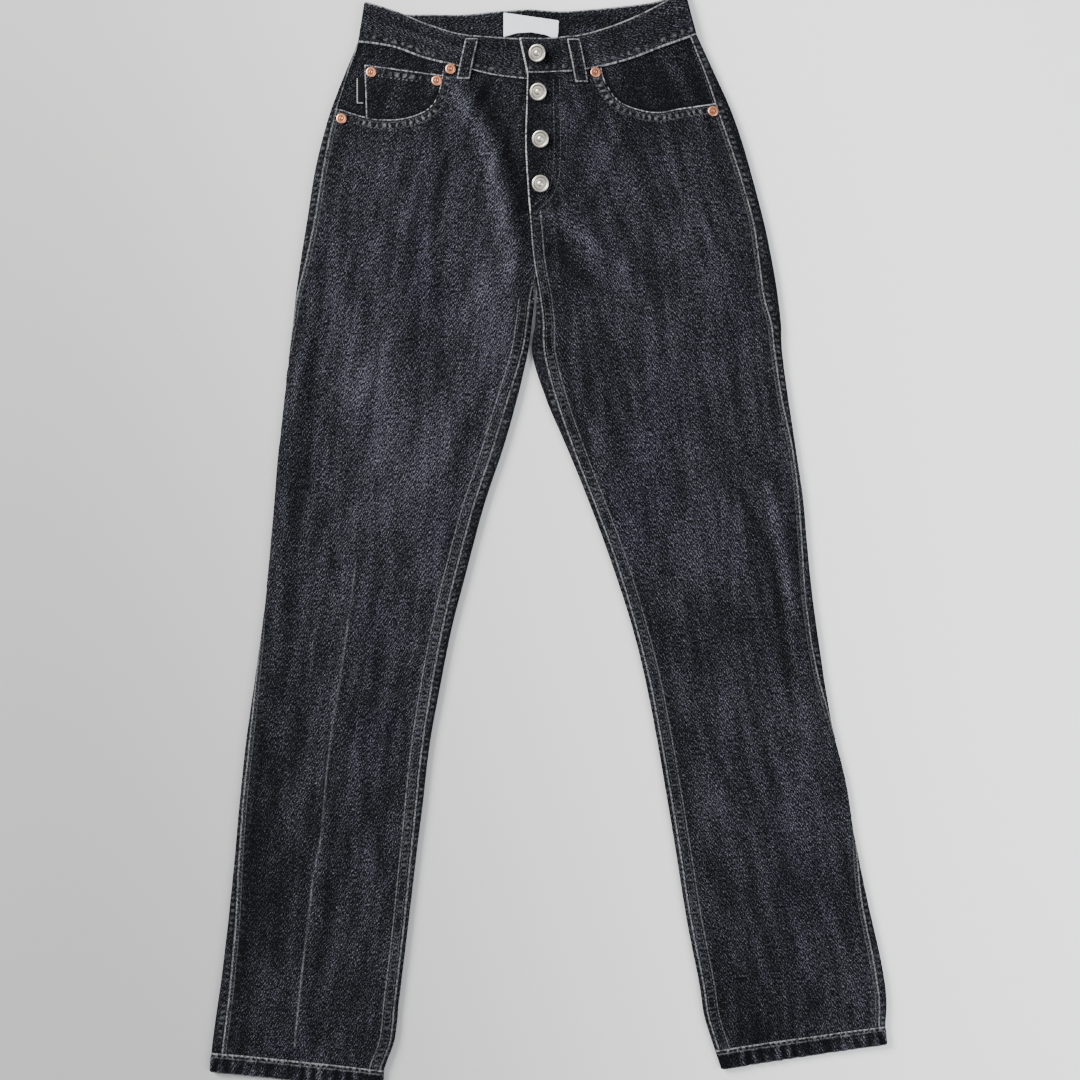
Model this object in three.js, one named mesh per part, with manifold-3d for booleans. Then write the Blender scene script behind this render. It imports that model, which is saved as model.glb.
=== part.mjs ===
// Straight leg jeans, laid flat on their back with the front up and the fly buttoned.
// Millimetres. X runs to the wearer's left, Y up towards the waist, Z up from the surface.
// The pattern is drawn round the crotch, and the group at the end moves it so that the origin
// lies under the middle of the whole garment.
import * as THREE from 'three';
import { mergeVertices } from 'three/addons/utils/BufferGeometryUtils.js';
import Module from 'manifold-3d';

const wasm = await Module();
wasm.setup();

// Driving sizes
const DENIM = 1.4; // wall of a panel
const BAND_WALL = 2.8; // the waistband is two denims and their turnings
const HEM_WALL = 2.2; // turned up twice
const POCKET_WALL = 1.2; // what is sewn on a panel
const TAPE_WALL = 0.7; // label and tab
const GAP = 0.3; // between pieces that lie on each other
const SEAM_GAP = 0.4; // between panels, edge to edge
const UNDER = DENIM + GAP; // how far the piece below a panel is moved in
const BAND_RISE = 0.7; // the waistband stands this much above the panels
const BAND_LAP = 3.3; // lift of the buttoned end over the end below it
const FLY_LAP = 2.0; // lift of the fly over the front below it
const FLY_LAP_TOP = 1.2; // and this much more where it meets the waistband
const SEAT_LIFT = POCKET_WALL + GAP; // the seat lies on its pockets and loops
const ROLL_REACH = 22; // how far in from a folded edge the cloth stays plump
const BUTTON_RADIUS = 8.3;
const BUTTON_DEPTH = 3.0;
const SHANK_RADIUS = 2.2;
const RIVET_RADIUS = 4.8;
const RIVET_DEPTH = 1.4;
const BUTTONHOLE = { length: 15, width: 5.4, start: -3.4 };
const LOOP = { width: 11, wall: 1.5, arch: 1.6 };
const LOOP_STEPS = 8;
const BAND_END_LAP = 27; // how far the waistband runs on under its buttoned end
const FLAP_MIDDLE = 12; // from the buttoned end to a spot well on the flap
const FRONT_COLUMNS = 12; // columns of points across a front
const RING_STEPS = 20; // sides of a button
const RIVET_STEPS = 16;
const SECTION_GAP = 0.01; // half the gap along the garment between two pieces, in sections
const YOKE_GAP = 0.005; // the same at the yoke's seam
const BELOW_ALL = -10; // a cutting prism starts here
const ABOVE_ALL = 60; // and ends here
const RAY_HEIGHT = 200; // rays that feel the cloth start here

// A short table: its columns' names, then one row for each place.
function table(columns, rows) {
  return rows.map((row) => Object.fromEntries(columns.map((name, k) => [name, row[k]])));
}

// Sections across each half, from the waist seam down to the hem's edge. Outer and inner are the
// ends of the section in plan. Outseam and inseam are how far in from those ends the seams show
// on top: below zero the front wraps under the edge there, or laps under the other front.
const SECTION = ['outerX', 'outerY', 'innerX', 'innerY', 'outseam', 'inseam'];
const RIGHT_SECTIONS = table(SECTION, [
  [-164, 260, -4, 225, 1, -8],
  [-178, 226, -5, 198, 4, -8],
  [-192, 188, -5, 164, 6, -8],
  [-204, 141, -4, 126, 8, -8],
  [-212, 93, -1, 88, 8, -8],
  [-218, 55, 1, 54, 6, -6],
  [-223, 19, 3, 19, 2, 4],
  [-226, -8, 1, -5, 1, 5],
  [-229, -34, -3, -34, 0, 6],
  [-234, -78, -13, -77, -1, 9],
  [-239, -125, -27, -126, -1, 10],
  [-243, -174, -44, -177, -1, 10],
  [-248, -230, -60, -236, -1, 10],
  [-254, -287, -75, -295, 0, 9],
  [-262, -344, -87, -354, 2, 8],
  [-270, -401, -97, -413, 4, 7],
  [-276, -458, -104, -472, 4, 6],
  [-281, -515, -111, -531, 5, 5],
  [-287, -572, -118, -590, 8, 4],
  [-294, -629, -125, -648, 10, 4],
  [-299, -664, -129, -684, 11, 4],
  [-303, -696, -139, -713, 11, 4],
  [-304, -714, -140, -732, 11, 4],
]);
const LEFT_SECTIONS = table(SECTION, [
  [157, 267, -3, 230, 9, 0],
  [175, 228, -4, 200, 10, 0],
  [192, 189, -5, 164, 13, 0],
  [206, 145, -3, 126, 12, 0],
  [220, 93, 0, 88, 11, 0],
  [228, 55, 3, 54, 13, 0],
  [234, 19, 5, 19, 14, 4],
  [237, -7, 4, -5, 10, 8],
  [238, -32, 1, -34, 8, 12],
  [244, -78, 14, -77, 7, 10],
  [251, -125, 35, -126, 4, 6],
  [258, -173, 56, -178, 5, 5],
  [262, -218, 74, -226, 6, 5],
  [268, -274, 93, -284, 8, 4],
  [276, -330, 108, -342, 7, 4],
  [285, -384, 119, -399, 1, 4],
  [298, -439, 129, -456, -2, 4],
  [307, -494, 138, -512, 0, 4],
  [318, -549, 147, -569, 6, 4],
  [332, -610, 159, -630, 8, 4],
  [337, -645, 164, -662, 8, 4],
  [336, -671, 174, -694, 7, 4],
  [337, -688, 180, -712, 7, 4],
]);
const CROTCH = 6; // the section where the two legs part
const HEM_SEAM = 21; // the section at the hem's stitching
const HEM_EDGE = 22;

// The waistband's two edges on each half, as X, Y from the side to the middle.
const LINES = {
  right: {
    front: {
      seam: [[-164, 260], [-132, 256], [-100, 245], [-68, 237], [-36, 229], [-4, 225]],
      top: [[-158, 297], [-128, 288], [-98, 276], [-68, 267], [-38, 264], [-8, 262]],
    },
    back: {
      seam: [[-164, 260], [-131, 252], [-98, 249], [-65, 248], [-32, 250], [-0.2, 252]],
      top: [[-158, 297], [-126, 287], [-95, 286], [-63, 286], [-32, 289], [-0.2, 291]],
    },
  },
  left: {
    front: {
      seam: [[157, 267], [125, 256], [93, 244], [61, 236], [29, 231], [-3, 230]],
      top: [[146, 308], [115, 291], [84, 277], [52, 267], [21, 262], [-10, 262]],
    },
    back: {
      seam: [[157, 267], [126, 259], [94, 255], [63, 253], [31, 251], [0.2, 252]],
      top: [[146, 308], [117, 298], [88, 294], [58, 291], [29, 289], [0.2, 291]],
    },
  },
};

// Height of the top cloth at a folded edge and between the edges, and the least that the layers
// below leave it, down the garment.
const HEIGHTS = table(['y', 'edge', 'middle', 'least'], [
  [300, 8.8, 7.8, 7.4],
  [225, 8.4, 7.3, 6.7],
  [100, 7.8, 6.9, 6.4],
  [0, 7.2, 6.2, 5.4],
  [-100, 6.8, 5.0, 3.7],
  [-700, 6.6, 4.8, 3.7],
]);

// The largest folds of the top cloth: ridges are raised, troughs sunk.
const FOLDS = [
  {
    name: 'ridge beside the fly',
    rise: 5.0,
    width: 11,
    path: [[-63, 206], [-34, 160], [-19, 112], [-13, 70]],
  },
  { name: 'hollow by the ridge', rise: -1.4, width: 8, path: [[-38, 205], [-17, 160]] },
  { name: 'ridge under the fly', rise: 5.5, width: 12, path: [[20, 92], [51, 72], [86, 46]] },
  { name: 'hollow under that ridge', rise: -1.6, width: 12, path: [[26, 50], [58, 26], [92, 12]] },
  { name: 'ridge off the left pocket', rise: 3.6, width: 11, path: [[84, 184], [63, 136], [52, 108]] },
  { name: 'right thigh ridge', rise: 3.4, width: 17, path: [[-40, 24], [-50, -42], [-74, -128]] },
  { name: 'right thigh hollow', rise: -1.3, width: 15, path: [[-86, 14], [-96, -62], [-106, -126]] },
  {
    name: 'right outer roll',
    rise: 3.0,
    width: 10,
    path: [[-215, -20], [-226, -110], [-238, -200], [-242, -270]],
  },
  {
    name: 'right pressed crease',
    rise: 2.2,
    width: 9,
    path: [[-151, -150], [-170, -268], [-186, -382], [-202, -552], [-217, -690]],
  },
  {
    name: 'left knee ridge',
    rise: 5.0,
    width: 12,
    path: [[224, -140], [240, -210], [249, -270], [257, -334]],
  },
  {
    name: 'left knee hollow',
    rise: -1.3,
    width: 9,
    path: [[194, -152], [214, -186], [229, -232], [237, -286], [240, -330]],
  },
  { name: 'left calf ridge', rise: 3.6, width: 13, path: [[254, -380], [262, -458], [275, -550]] },
  { name: 'left inner thigh roll', rise: 2.4, width: 14, path: [[40, -20], [62, -100], [96, -190]] },
];

// Plan outlines of what is cut out of, or lies on, the panels.
const SCOOP = {
  right: [
    [-82, 242], [-84, 226], [-87, 213], [-92, 202], [-101, 194], [-117, 188], [-135, 186], [-155, 188],
    [-182, 196],
  ],
  left: [
    [66, 242], [67, 230], [71, 220], [77, 210], [84, 203], [97, 197], [119, 193], [144, 197], [181, 202],
  ],
};
const SCOOP_FAR = 110; // past the edges of the cloth
const FACING_DEPTH = 12; // how far a facing runs on under the front, down
const FACING_REACH = 9.6; // and towards the middle
const MOUTH_GAP = 0.6;
const COIN_POCKET = [[-157, 238], [-84, 228], [-79, 190], [-155, 176]];
const TAB = [[-165.5, 226], [-158, 226], [-158, 201], [-165.5, 201]];
const PLACKET = [[5, 223], [28, 223], [28, 122], [22, 106], [8, 99], [5, 128]];
const LABEL = [[-25.7, 288], [26, 280.5], [25, 262.5], [14, 267.5], [0, 270], [-14, 269], [-25.7, 265.5]];
const YOKE = { side: 0.75, middle: 1.75 }; // where its lower seam crosses the sections
const BACK_EVEN = 4; // from this section on the back's rows are level with the front's
const BACK_POCKET = { middle: 92, top: 178, lean: 5, half: 72, foot: 64, side: 60, tip: 36 };
const BACK_LOOPS = [-96, 0, 96];
const BACK_LOOP_REACH = { foot: 246, top: 286 };
const BUTTONS = table(['name', 'x', 'y'], [
  ['waist', 6, 247],
  ['fly_1', 7, 211],
  ['fly_2', 9, 167],
  ['fly_3', 9, 125],
]);
const RIVETS = table(['name', 'x', 'y'], [
  ['pocket_right_top', -76, 234],
  ['pocket_right_side', -179, 187],
  ['coin_side', -151, 231],
  ['coin_middle', -89, 223],
  ['pocket_left_top', 61, 231],
  ['pocket_left_side', 172, 194],
]);
const FRONT_LOOPS = table(['name', 'topX', 'topY', 'footX', 'footY'], [
  ['right', -56, 262, -64, 225],
  ['left', 40, 260.5, 48, 222],
]);

const SIDES = {
  right: { name: 'right', sections: RIGHT_SECTIONS, lines: LINES.right, turn: 1, lap: 0 },
  left: { name: 'left', sections: LEFT_SECTIONS, lines: LINES.left, turn: -1, lap: 1 },
};

// Helpers for smooth steps and curves through a table's rows
function smooth(from, to, value) {
  return THREE.MathUtils.smoothstep(value, Math.min(from, to), Math.max(from, to));
}

function curved(a, b, c, d, f) {
  const bend = 2 * a - 5 * b + 4 * c - d;
  const twist = 3 * b - a - 3 * c + d;
  return b + 0.5 * f * (c - a + f * (bend + f * twist));
}

function sectionAt(rows, s) {
  const k = Math.min(Math.max(Math.floor(s), 0), rows.length - 2);
  const before = rows[Math.max(k - 1, 0)];
  const after = rows[Math.min(k + 2, rows.length - 1)];
  const result = {};
  for (const name of SECTION) {
    result[name] = curved(before[name], rows[k][name], rows[k + 1][name], after[name], s - k);
  }
  return result;
}

function lineAt(points, u) {
  const place = u * (points.length - 1);
  const k = Math.min(Math.max(Math.floor(place), 0), points.length - 2);
  const before = points[Math.max(k - 1, 0)];
  const after = points[Math.min(k + 2, points.length - 1)];
  const at = (axis) => curved(before[axis], points[k][axis], points[k + 1][axis], after[axis], place - k);
  return new THREE.Vector2(at(0), at(1));
}

function heightsAt(y) {
  const k = Math.max(1, HEIGHTS.findIndex((row) => row.y <= y));
  const last = y < HEIGHTS.at(-1).y ? HEIGHTS.length - 1 : k;
  const above = HEIGHTS[last - 1];
  const below = HEIGHTS[last];
  const f = THREE.MathUtils.clamp((above.y - y) / (above.y - below.y), 0, 1);
  const mix = (name) => THREE.MathUtils.lerp(above[name], below[name], f);
  return { edge: mix('edge'), middle: mix('middle'), least: mix('least') };
}

function foldHeight(x, y) {
  let sum = 0;
  const spot = new THREE.Vector3(x, y, 0);
  const near = new THREE.Vector3();
  for (const fold of FOLDS) {
    let closest = Infinity;
    for (let k = 1; k < fold.path.length; k += 1) {
      const start = new THREE.Vector3(...fold.path[k - 1], 0);
      const end = new THREE.Vector3(...fold.path[k], 0);
      new THREE.Line3(start, end).closestPointToPoint(spot, true, near);
      closest = Math.min(closest, near.distanceTo(spot));
    }
    sum += fold.rise * Math.exp(-((closest / fold.width) ** 2));
  }
  return sum;
}

// How far the left front is lifted where it laps over the right one: the fly's double band, then
// the narrow felled seam down to the crotch.
function flyLift(x, y) {
  const reach = THREE.MathUtils.lerp(13, 30, smooth(92, 122, y));
  const lap = FLY_LAP * smooth(2, 20, y) + FLY_LAP_TOP * smooth(194, 218, y);
  return lap * (1 - smooth(reach, reach + 8, x));
}

function bandLift(x) {
  return BAND_LAP * (1 - smooth(31, 46, x));
}

// Where a section's fraction u lies in plan. Layer is the front cloth or the back cloth, s below
// zero is the waistband, and each layer's first sections bend to meet its own waist seam.
function plan(side, layer, s, u) {
  const lines = side.lines[layer];
  if (s < 0) {
    return lineAt(lines.seam, u).lerp(lineAt(lines.top, u), -s);
  }
  const section = sectionAt(side.sections, s);
  const place = new THREE.Vector2(section.outerX, section.outerY);
  place.lerp(new THREE.Vector2(section.innerX, section.innerY), u);
  const reach = layer === 'front' ? 2 : 5;
  if (s < reach) {
    const first = side.sections[0];
    const chord = new THREE.Vector2(first.outerX, first.outerY);
    chord.lerp(new THREE.Vector2(first.innerX, first.innerY), u);
    place.addScaledVector(lineAt(lines.seam, u).sub(chord), (1 - s / reach) ** 2);
  }
  return place;
}

function widthOf(side, layer, s) {
  return plan(side, layer, s, 0).distanceTo(plan(side, layer, s, 1));
}

function roundingAt(side, s) {
  const outer = heightsAt(plan(side, 'front', s, 0).y).edge / 2;
  const inner = s >= CROTCH ? outer : 0;
  return { outer, inner };
}

// How far round the cloth, from a folded edge, a point lies that is this far in from it in plan.
function roundTo(radius, distance) {
  const quarter = (radius * Math.PI) / 2;
  if (distance >= radius) {
    return quarter + distance - radius;
  }
  return (quarter * Math.acos(1 - distance / radius)) / (Math.PI / 2);
}

// Length of the top cloth, measured round, from the outer folded edge to the inner one.
function roundLength(side, layer, s) {
  const { outer, inner } = roundingAt(side, s);
  return widthOf(side, layer, s) + (outer + inner) * (Math.PI / 2 - 1);
}

// Turns a distance t round the cloth into a place on the section. t is zero at the outer fold,
// grows over the top and falls below zero along the back. Past the inner fold it goes on round.
function placeAt(side, s, t) {
  const { outer, inner } = roundingAt(side, s);
  let way = t;
  if (inner > 0) {
    const whole = roundLength(side, 'front', s);
    if (way < -whole) way += 2 * whole;
    if (way > whole) way -= 2 * whole;
  }
  const layer = way < 0 ? 'back' : 'front';
  const width = widthOf(side, layer, s);
  const length = roundLength(side, layer, s);
  const quarter = (outer * Math.PI) / 2;
  const innerQuarter = (inner * Math.PI) / 2;
  const far = Math.abs(way);
  if (far < quarter) {
    const angle = far / outer;
    return { layer, width, inset: outer * (1 - Math.cos(angle)), full: Math.sin(angle) };
  }
  if (inner > 0 && far > length - innerQuarter) {
    const angle = (length - far) / inner;
    return { layer, width, inset: width - inner * (1 - Math.cos(angle)), full: Math.sin(angle) };
  }
  return { layer, width, inset: outer + far - quarter, full: 1 };
}

// Outer surface of the cloth. Rise lifts the front cloth, as for the waistband.
function surfaceAt(side, s, place, kind) {
  const u = Math.min(place.inset / place.width, 1);
  const spot = plan(side, place.layer, s, u);
  spot.x += Math.max(place.inset - place.width, 0) * side.turn;
  const heights = heightsAt(spot.y);
  const middle = heights.edge / 2;
  if (place.layer === 'back') {
    const lift = SEAT_LIFT * smooth(2, 12, place.inset) * smooth(-40, 0, spot.y);
    return new THREE.Vector3(spot.x, spot.y, middle + (lift - middle) * place.full);
  }
  const outerRoll = Math.exp(-((place.inset / ROLL_REACH) ** 2));
  const legs = 1 - smooth(0, 30, spot.y);
  const innerRoll = legs * Math.exp(-(((place.width - place.inset) / ROLL_REACH) ** 2));
  const roll = Math.min(1, outerRoll + innerRoll);
  let top = THREE.MathUtils.lerp(heights.middle, heights.edge, roll);
  top += foldHeight(spot.x, spot.y) * smooth(0, 14, place.inset) * (kind.band ? 0 : 1);
  top = Math.max(top, heights.least);
  if (side.lap) {
    top += kind.band ? bandLift(spot.x) : flyLift(spot.x, spot.y);
  }
  top += kind.band ? BAND_RISE : 0;
  return new THREE.Vector3(spot.x, spot.y, middle + (top - middle) * place.full);
}

// The two kinds of cloth: folds cross a panel, and the waistband stands on the panels
const PANEL = { band: false };
const BAND = { band: true };
const BAND_ROWS = [-SECTION_GAP, -0.5, -1];

// A point of the cloth moved in from its outer surface by inset, or out where inset is below zero.
function clothPoint(side, s, t, inset, kind = PANEL) {
  const place = placeAt(side, s, t);
  const point = surfaceAt(side, s, place, kind);
  const down = surfaceAt(side, s + 0.02, place, kind).sub(surfaceAt(side, s - 0.02, place, kind));
  const ahead = surfaceAt(side, s, placeAt(side, s, t + 0.2), kind);
  const across = ahead.sub(surfaceAt(side, s, placeAt(side, s, t - 0.2), kind));
  const normal = down.cross(across).normalize().multiplyScalar(side.turn);
  return point.addScaledVector(normal, -inset);
}

// A closed wall between two grids of points. A ring joins its last column to its first.
function wall(outer, inner, ring = false) {
  const rows = outer.length;
  const columns = outer[0].length;
  const index = [];
  const at = (layer, i, j) => layer * rows * columns + i * columns + (j % columns);
  const quad = (a, b, c, d) => index.push(a, b, c, a, c, d);
  const spans = ring ? columns : columns - 1;
  for (let i = 0; i < rows - 1; i += 1) {
    for (let j = 0; j < spans; j += 1) {
      quad(at(0, i, j), at(0, i + 1, j), at(0, i + 1, j + 1), at(0, i, j + 1));
      quad(at(1, i, j), at(1, i, j + 1), at(1, i + 1, j + 1), at(1, i + 1, j));
    }
  }
  for (let j = 0; j < spans; j += 1) {
    quad(at(0, 0, j), at(0, 0, j + 1), at(1, 0, j + 1), at(1, 0, j));
    quad(at(0, rows - 1, j), at(1, rows - 1, j), at(1, rows - 1, j + 1), at(0, rows - 1, j + 1));
  }
  for (let i = 0; i < rows - 1 && !ring; i += 1) {
    quad(at(0, i, 0), at(1, i, 0), at(1, i + 1, 0), at(0, i + 1, 0));
    const last = columns - 1;
    quad(at(0, i, last), at(0, i + 1, last), at(1, i + 1, last), at(1, i, last));
  }
  return facingOut([...outer.flat(), ...inner.flat()], index);
}

function facingOut(points, index) {
  let volume = 0;
  for (let k = 0; k < index.length; k += 3) {
    const [a, b, c] = [points[index[k]], points[index[k + 1]], points[index[k + 2]]];
    volume += a.dot(b.clone().cross(c));
  }
  if (volume < 0) {
    index.reverse();
  }
  const geometry = new THREE.BufferGeometry().setFromPoints(points);
  geometry.setIndex(index);
  return geometry;
}

// Joining and cutting
function solid(geometry) {
  const bare = geometry.clone();
  bare.deleteAttribute('normal');
  bare.deleteAttribute('uv');
  const merged = mergeVertices(bare, 1e-4);
  const vertProperties = new Float32Array(merged.attributes.position.array);
  const triVerts = new Uint32Array(merged.index.array);
  return new wasm.Manifold(new wasm.Mesh({ numProp: 3, vertProperties, triVerts }));
}

function geometryOf(shape) {
  const mesh = shape.getMesh();
  const geometry = new THREE.BufferGeometry();
  geometry.setAttribute('position', new THREE.Float32BufferAttribute(mesh.vertProperties, 3));
  geometry.setIndex(new THREE.Uint32BufferAttribute(mesh.triVerts, 1));
  return geometry;
}

function prism(outline, from = BELOW_ALL, to = ABOVE_ALL) {
  const shape = new THREE.Shape(outline.map(([x, y]) => new THREE.Vector2(x, y)));
  const geometry = new THREE.ExtrudeGeometry(shape, { depth: to - from, bevelEnabled: false });
  geometry.translate(0, 0, from);
  return geometry;
}

// The part of the plan above a pocket's mouth, out past the waist seam and the side.
function scoopOutline(side, moveX = 0, moveY = 0) {
  const mouth = SCOOP[side.name].map(([x, y]) => [x + moveX, y + moveY]);
  const [startX] = mouth[0];
  const [endX, endY] = mouth.at(-1);
  const farX = endX - side.turn * SCOOP_FAR;
  return [[startX, endY + SCOOP_FAR], ...mouth, [farX, endY], [farX, endY + SCOOP_FAR]];
}

// Spacing: rows down the garment, and columns across, closer towards the folds
function rowsBetween(from, to) {
  const rows = [from];
  let s = 0.5;
  while (s < to - 0.3) {
    rows.push(s);
    s += s < 9 ? 0.5 : 0.75;
  }
  return [...rows, to];
}

function eased(from, to, count) {
  const ease = (k) => (1 - Math.cos((Math.PI * k) / count)) / 2;
  return Array.from({ length: count + 1 }, (_, k) => THREE.MathUtils.lerp(from, to, ease(k)));
}

function even(from, to, count) {
  return Array.from({ length: count + 1 }, (_, k) => THREE.MathUtils.lerp(from, to, k / count));
}

// Where the two seams of a half lie, measured round the cloth
function seamsAt(side, s) {
  const section = sectionAt(side.sections, Math.max(s, 0));
  const { outer, inner } = roundingAt(side, s);
  const length = roundLength(side, 'front', s);
  const outseam = Math.sign(section.outseam) * roundTo(outer, Math.abs(section.outseam));
  if (s < CROTCH) {
    return { outseam, inseam: length - section.inseam, wrap: 0 };
  }
  const wrap = roundTo(inner, Math.max(section.inseam, 0));
  return { outseam, inseam: length - wrap, wrap: s > CROTCH ? wrap : 0 };
}

function frontColumns(side, s) {
  const seams = seamsAt(side, s);
  return eased(seams.outseam + SEAM_GAP / 2, seams.inseam - SEAM_GAP / 2, FRONT_COLUMNS);
}

function backColumns(side, s) {
  const { outseam, wrap } = seamsAt(side, s);
  const { outer, inner } = roundingAt(side, s);
  const length = roundLength(side, s < CROTCH ? 'back' : 'front', s);
  const start = outseam - SEAM_GAP / 2;
  const end = -length - wrap + SEAM_GAP / 2;
  const flatStart = Math.min((-outer * Math.PI) / 2, start - 2);
  const flatEnd = -length + Math.max((inner * Math.PI) / 2, 3);
  const columns = [...even(start, flatStart, 4), ...eased(flatStart, flatEnd, 7).slice(1)];
  return [...columns, ...even(flatEnd, end, 5).slice(1)];
}

function clothGrid(side, rows, columnsOf, inset) {
  return rows.map((s) => columnsOf(side, s).map((t) => clothPoint(side, s, t, inset)));
}

function frontWall(side, outerInset, innerInset) {
  const rows = rowsBetween(SECTION_GAP, HEM_SEAM - SECTION_GAP);
  const outer = clothGrid(side, rows, frontColumns, outerInset);
  return wall(outer, clothGrid(side, rows, frontColumns, innerInset));
}

// A front: its wall, less the pocket's scoop and, on the left, the buttonholes of the fly
function frontPanel(side) {
  let panel = solid(frontWall(side, 0, DENIM)).subtract(solid(prism(scoopOutline(side))));
  if (side.lap) {
    for (const button of BUTTONS.slice(1)) {
      panel = panel.subtract(solid(buttonhole(button)));
    }
  }
  return geometryOf(panel);
}

function buttonhole(button, from = BELOW_ALL) {
  const left = button.x + BUTTONHOLE.start;
  const right = left + BUTTONHOLE.length;
  const half = BUTTONHOLE.width / 2;
  const nick = half * 0.6;
  const outline = [
    [left, button.y - nick], [left + nick, button.y - half], [right - nick, button.y - half],
    [right, button.y - nick], [right, button.y + nick], [right - nick, button.y + half],
    [left + nick, button.y + half], [left, button.y + nick],
  ];
  return prism(outline, from);
}

// A pocket's facing: the cloth that shows in the scoop, running on a little under the front
function pocketFacing(side) {
  const cover = prism(scoopOutline(side, side.turn * FACING_REACH, -FACING_DEPTH));
  return geometryOf(solid(frontWall(side, UNDER, UNDER + DENIM)).intersect(solid(cover)));
}

function coinPocket() {
  const side = SIDES.right;
  const layer = solid(frontWall(side, UNDER - GAP - POCKET_WALL, UNDER - GAP));
  const mouth = solid(prism(scoopOutline(side, -side.turn * MOUTH_GAP, MOUTH_GAP)));
  return geometryOf(layer.intersect(mouth).intersect(solid(prism(COIN_POCKET))));
}

function sideTab() {
  const layer = solid(frontWall(SIDES.right, UNDER - GAP - TAPE_WALL, UNDER - GAP));
  return geometryOf(layer.intersect(solid(prism(TAB))));
}

function flyPlacket() {
  const layer = solid(frontWall(SIDES.left, UNDER, UNDER + DENIM));
  return geometryOf(layer.intersect(solid(prism(PLACKET))));
}

// The back: a yoke under the waist seam, then the long panel that wraps over both folds
function yokeRow(side, t) {
  const across = THREE.MathUtils.clamp(-t / widthOf(side, 'back', 1), 0, 1);
  return THREE.MathUtils.lerp(YOKE.side, YOKE.middle, across);
}

function backPart(side, rows, rowOf) {
  const columns = backColumns(side, 1).length;
  const grid = (inset) => rows.map((row) => {
    const points = [];
    for (let j = 0; j < columns; j += 1) {
      const guess = backColumns(side, 1)[j];
      const s = rowOf(row, yokeRow(side, guess));
      points.push(clothPoint(side, s, backColumns(side, s)[j], inset));
    }
    return points;
  });
  return wall(grid(0), grid(DENIM));
}

function yoke(side) {
  const rowOf = (f, seam) => THREE.MathUtils.lerp(SECTION_GAP, seam - YOKE_GAP, f);
  return backPart(side, even(0, 1, 3), rowOf);
}

// The panel's first rows start from the yoke's slanting seam, and from BACK_EVEN on they are level
// with the front's rows.
function backPanel(side) {
  const rows = rowsBetween(0, HEM_SEAM - SECTION_GAP);
  const rowOf = (s, seam) => s + (seam + YOKE_GAP) * Math.max(0, 1 - s / BACK_EVEN);
  return backPart(side, rows, rowOf);
}

// The hem: a ring all round the leg, a little thicker than the panels
function hem(side) {
  const rows = [HEM_SEAM + SECTION_GAP, (HEM_SEAM + HEM_EDGE) / 2, HEM_EDGE];
  const columnsOf = (leg, s) => {
    const length = roundLength(leg, 'front', s);
    const { outer } = roundingAt(leg, s);
    const quarter = (outer * Math.PI) / 2;
    const fold = even(quarter, -quarter, 4);
    const under = eased(-quarter, quarter - length, 6).slice(1);
    const farFold = even(quarter - length, -quarter - length, 4).slice(1);
    const over = eased(-quarter - length, quarter - 2 * length, 6).slice(1, -1);
    return [...fold, ...under, ...farFold, ...over];
  };
  return wall(clothGrid(side, rows, columnsOf, 0), clothGrid(side, rows, columnsOf, HEM_WALL), true);
}

// The waistband: one strip from its buttoned end on the left front, round the back, to the end
// that lies below it. Each place is a half and a way round it.
function bandPlaces(s) {
  const { left, right } = SIDES;
  const places = [];
  const add = (side, ways) => ways.forEach((t) => places.push({ side, t }));
  const leftQuarter = (roundingAt(left, s).outer * Math.PI) / 2;
  const rightQuarter = (roundingAt(right, s).outer * Math.PI) / 2;
  const leftFront = roundLength(left, 'front', s);
  const leftBack = roundLength(left, 'back', s);
  const rightFront = roundLength(right, 'front', s);
  const rightBack = roundLength(right, 'back', s);
  add(left, even(leftFront, leftQuarter, 10));
  add(left, even(leftQuarter, -leftQuarter, 6).slice(1));
  add(left, even(-leftQuarter, -leftBack, 7).slice(1));
  add(right, even(-rightBack, -rightQuarter, 7).slice(1));
  add(right, even(-rightQuarter, rightQuarter, 6).slice(1));
  add(right, even(rightQuarter, rightFront, 9).slice(1));
  add(right, even(rightFront, rightFront + BAND_END_LAP, 3).slice(1));
  return places;
}

function bandGrid(inset, rows, keep = () => true) {
  return rows.map((s) => bandPlaces(s)
    .filter((place) => keep(place))
    .map(({ side, t }) => clothPoint(side, s, t, inset, BAND)));
}

function waistband(flapTop) {
  const strip = solid(wall(bandGrid(0, BAND_ROWS), bandGrid(BAND_WALL, BAND_ROWS)));
  return geometryOf(strip.subtract(solid(buttonhole(BUTTONS[0], flapTop - BAND_WALL - GAP / 2))));
}

// The blank label inside the back of the waistband
function neckLabel() {
  const inside = (place) => place.t < -20;
  const inset = BAND_WALL + GAP;
  const outer = bandGrid(inset, BAND_ROWS, inside);
  const layer = wall(outer, bandGrid(inset + TAPE_WALL, BAND_ROWS, inside));
  return geometryOf(solid(layer).intersect(solid(prism(LABEL))));
}

function backPocket(side) {
  const p = BACK_POCKET;
  const outline = [
    [p.middle - p.half, p.top - p.lean], [p.middle - p.foot, p.side], [p.middle, p.tip],
    [p.middle + p.foot, p.side + p.lean], [p.middle + p.half, p.top + p.lean],
  ];
  const placed = outline.map(([x, y]) => [-side.turn * x, y]);
  return prism(placed, 0, POCKET_WALL);
}

// Placing things on the cloth: how high the pieces below stand at a spot
function topAt(pieces, x, y) {
  const ray = new THREE.Raycaster(new THREE.Vector3(x, y, RAY_HEIGHT), new THREE.Vector3(0, 0, -1));
  const hits = ray.intersectObjects(pieces);
  return hits.length ? hits[0].point.z : 0;
}

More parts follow.
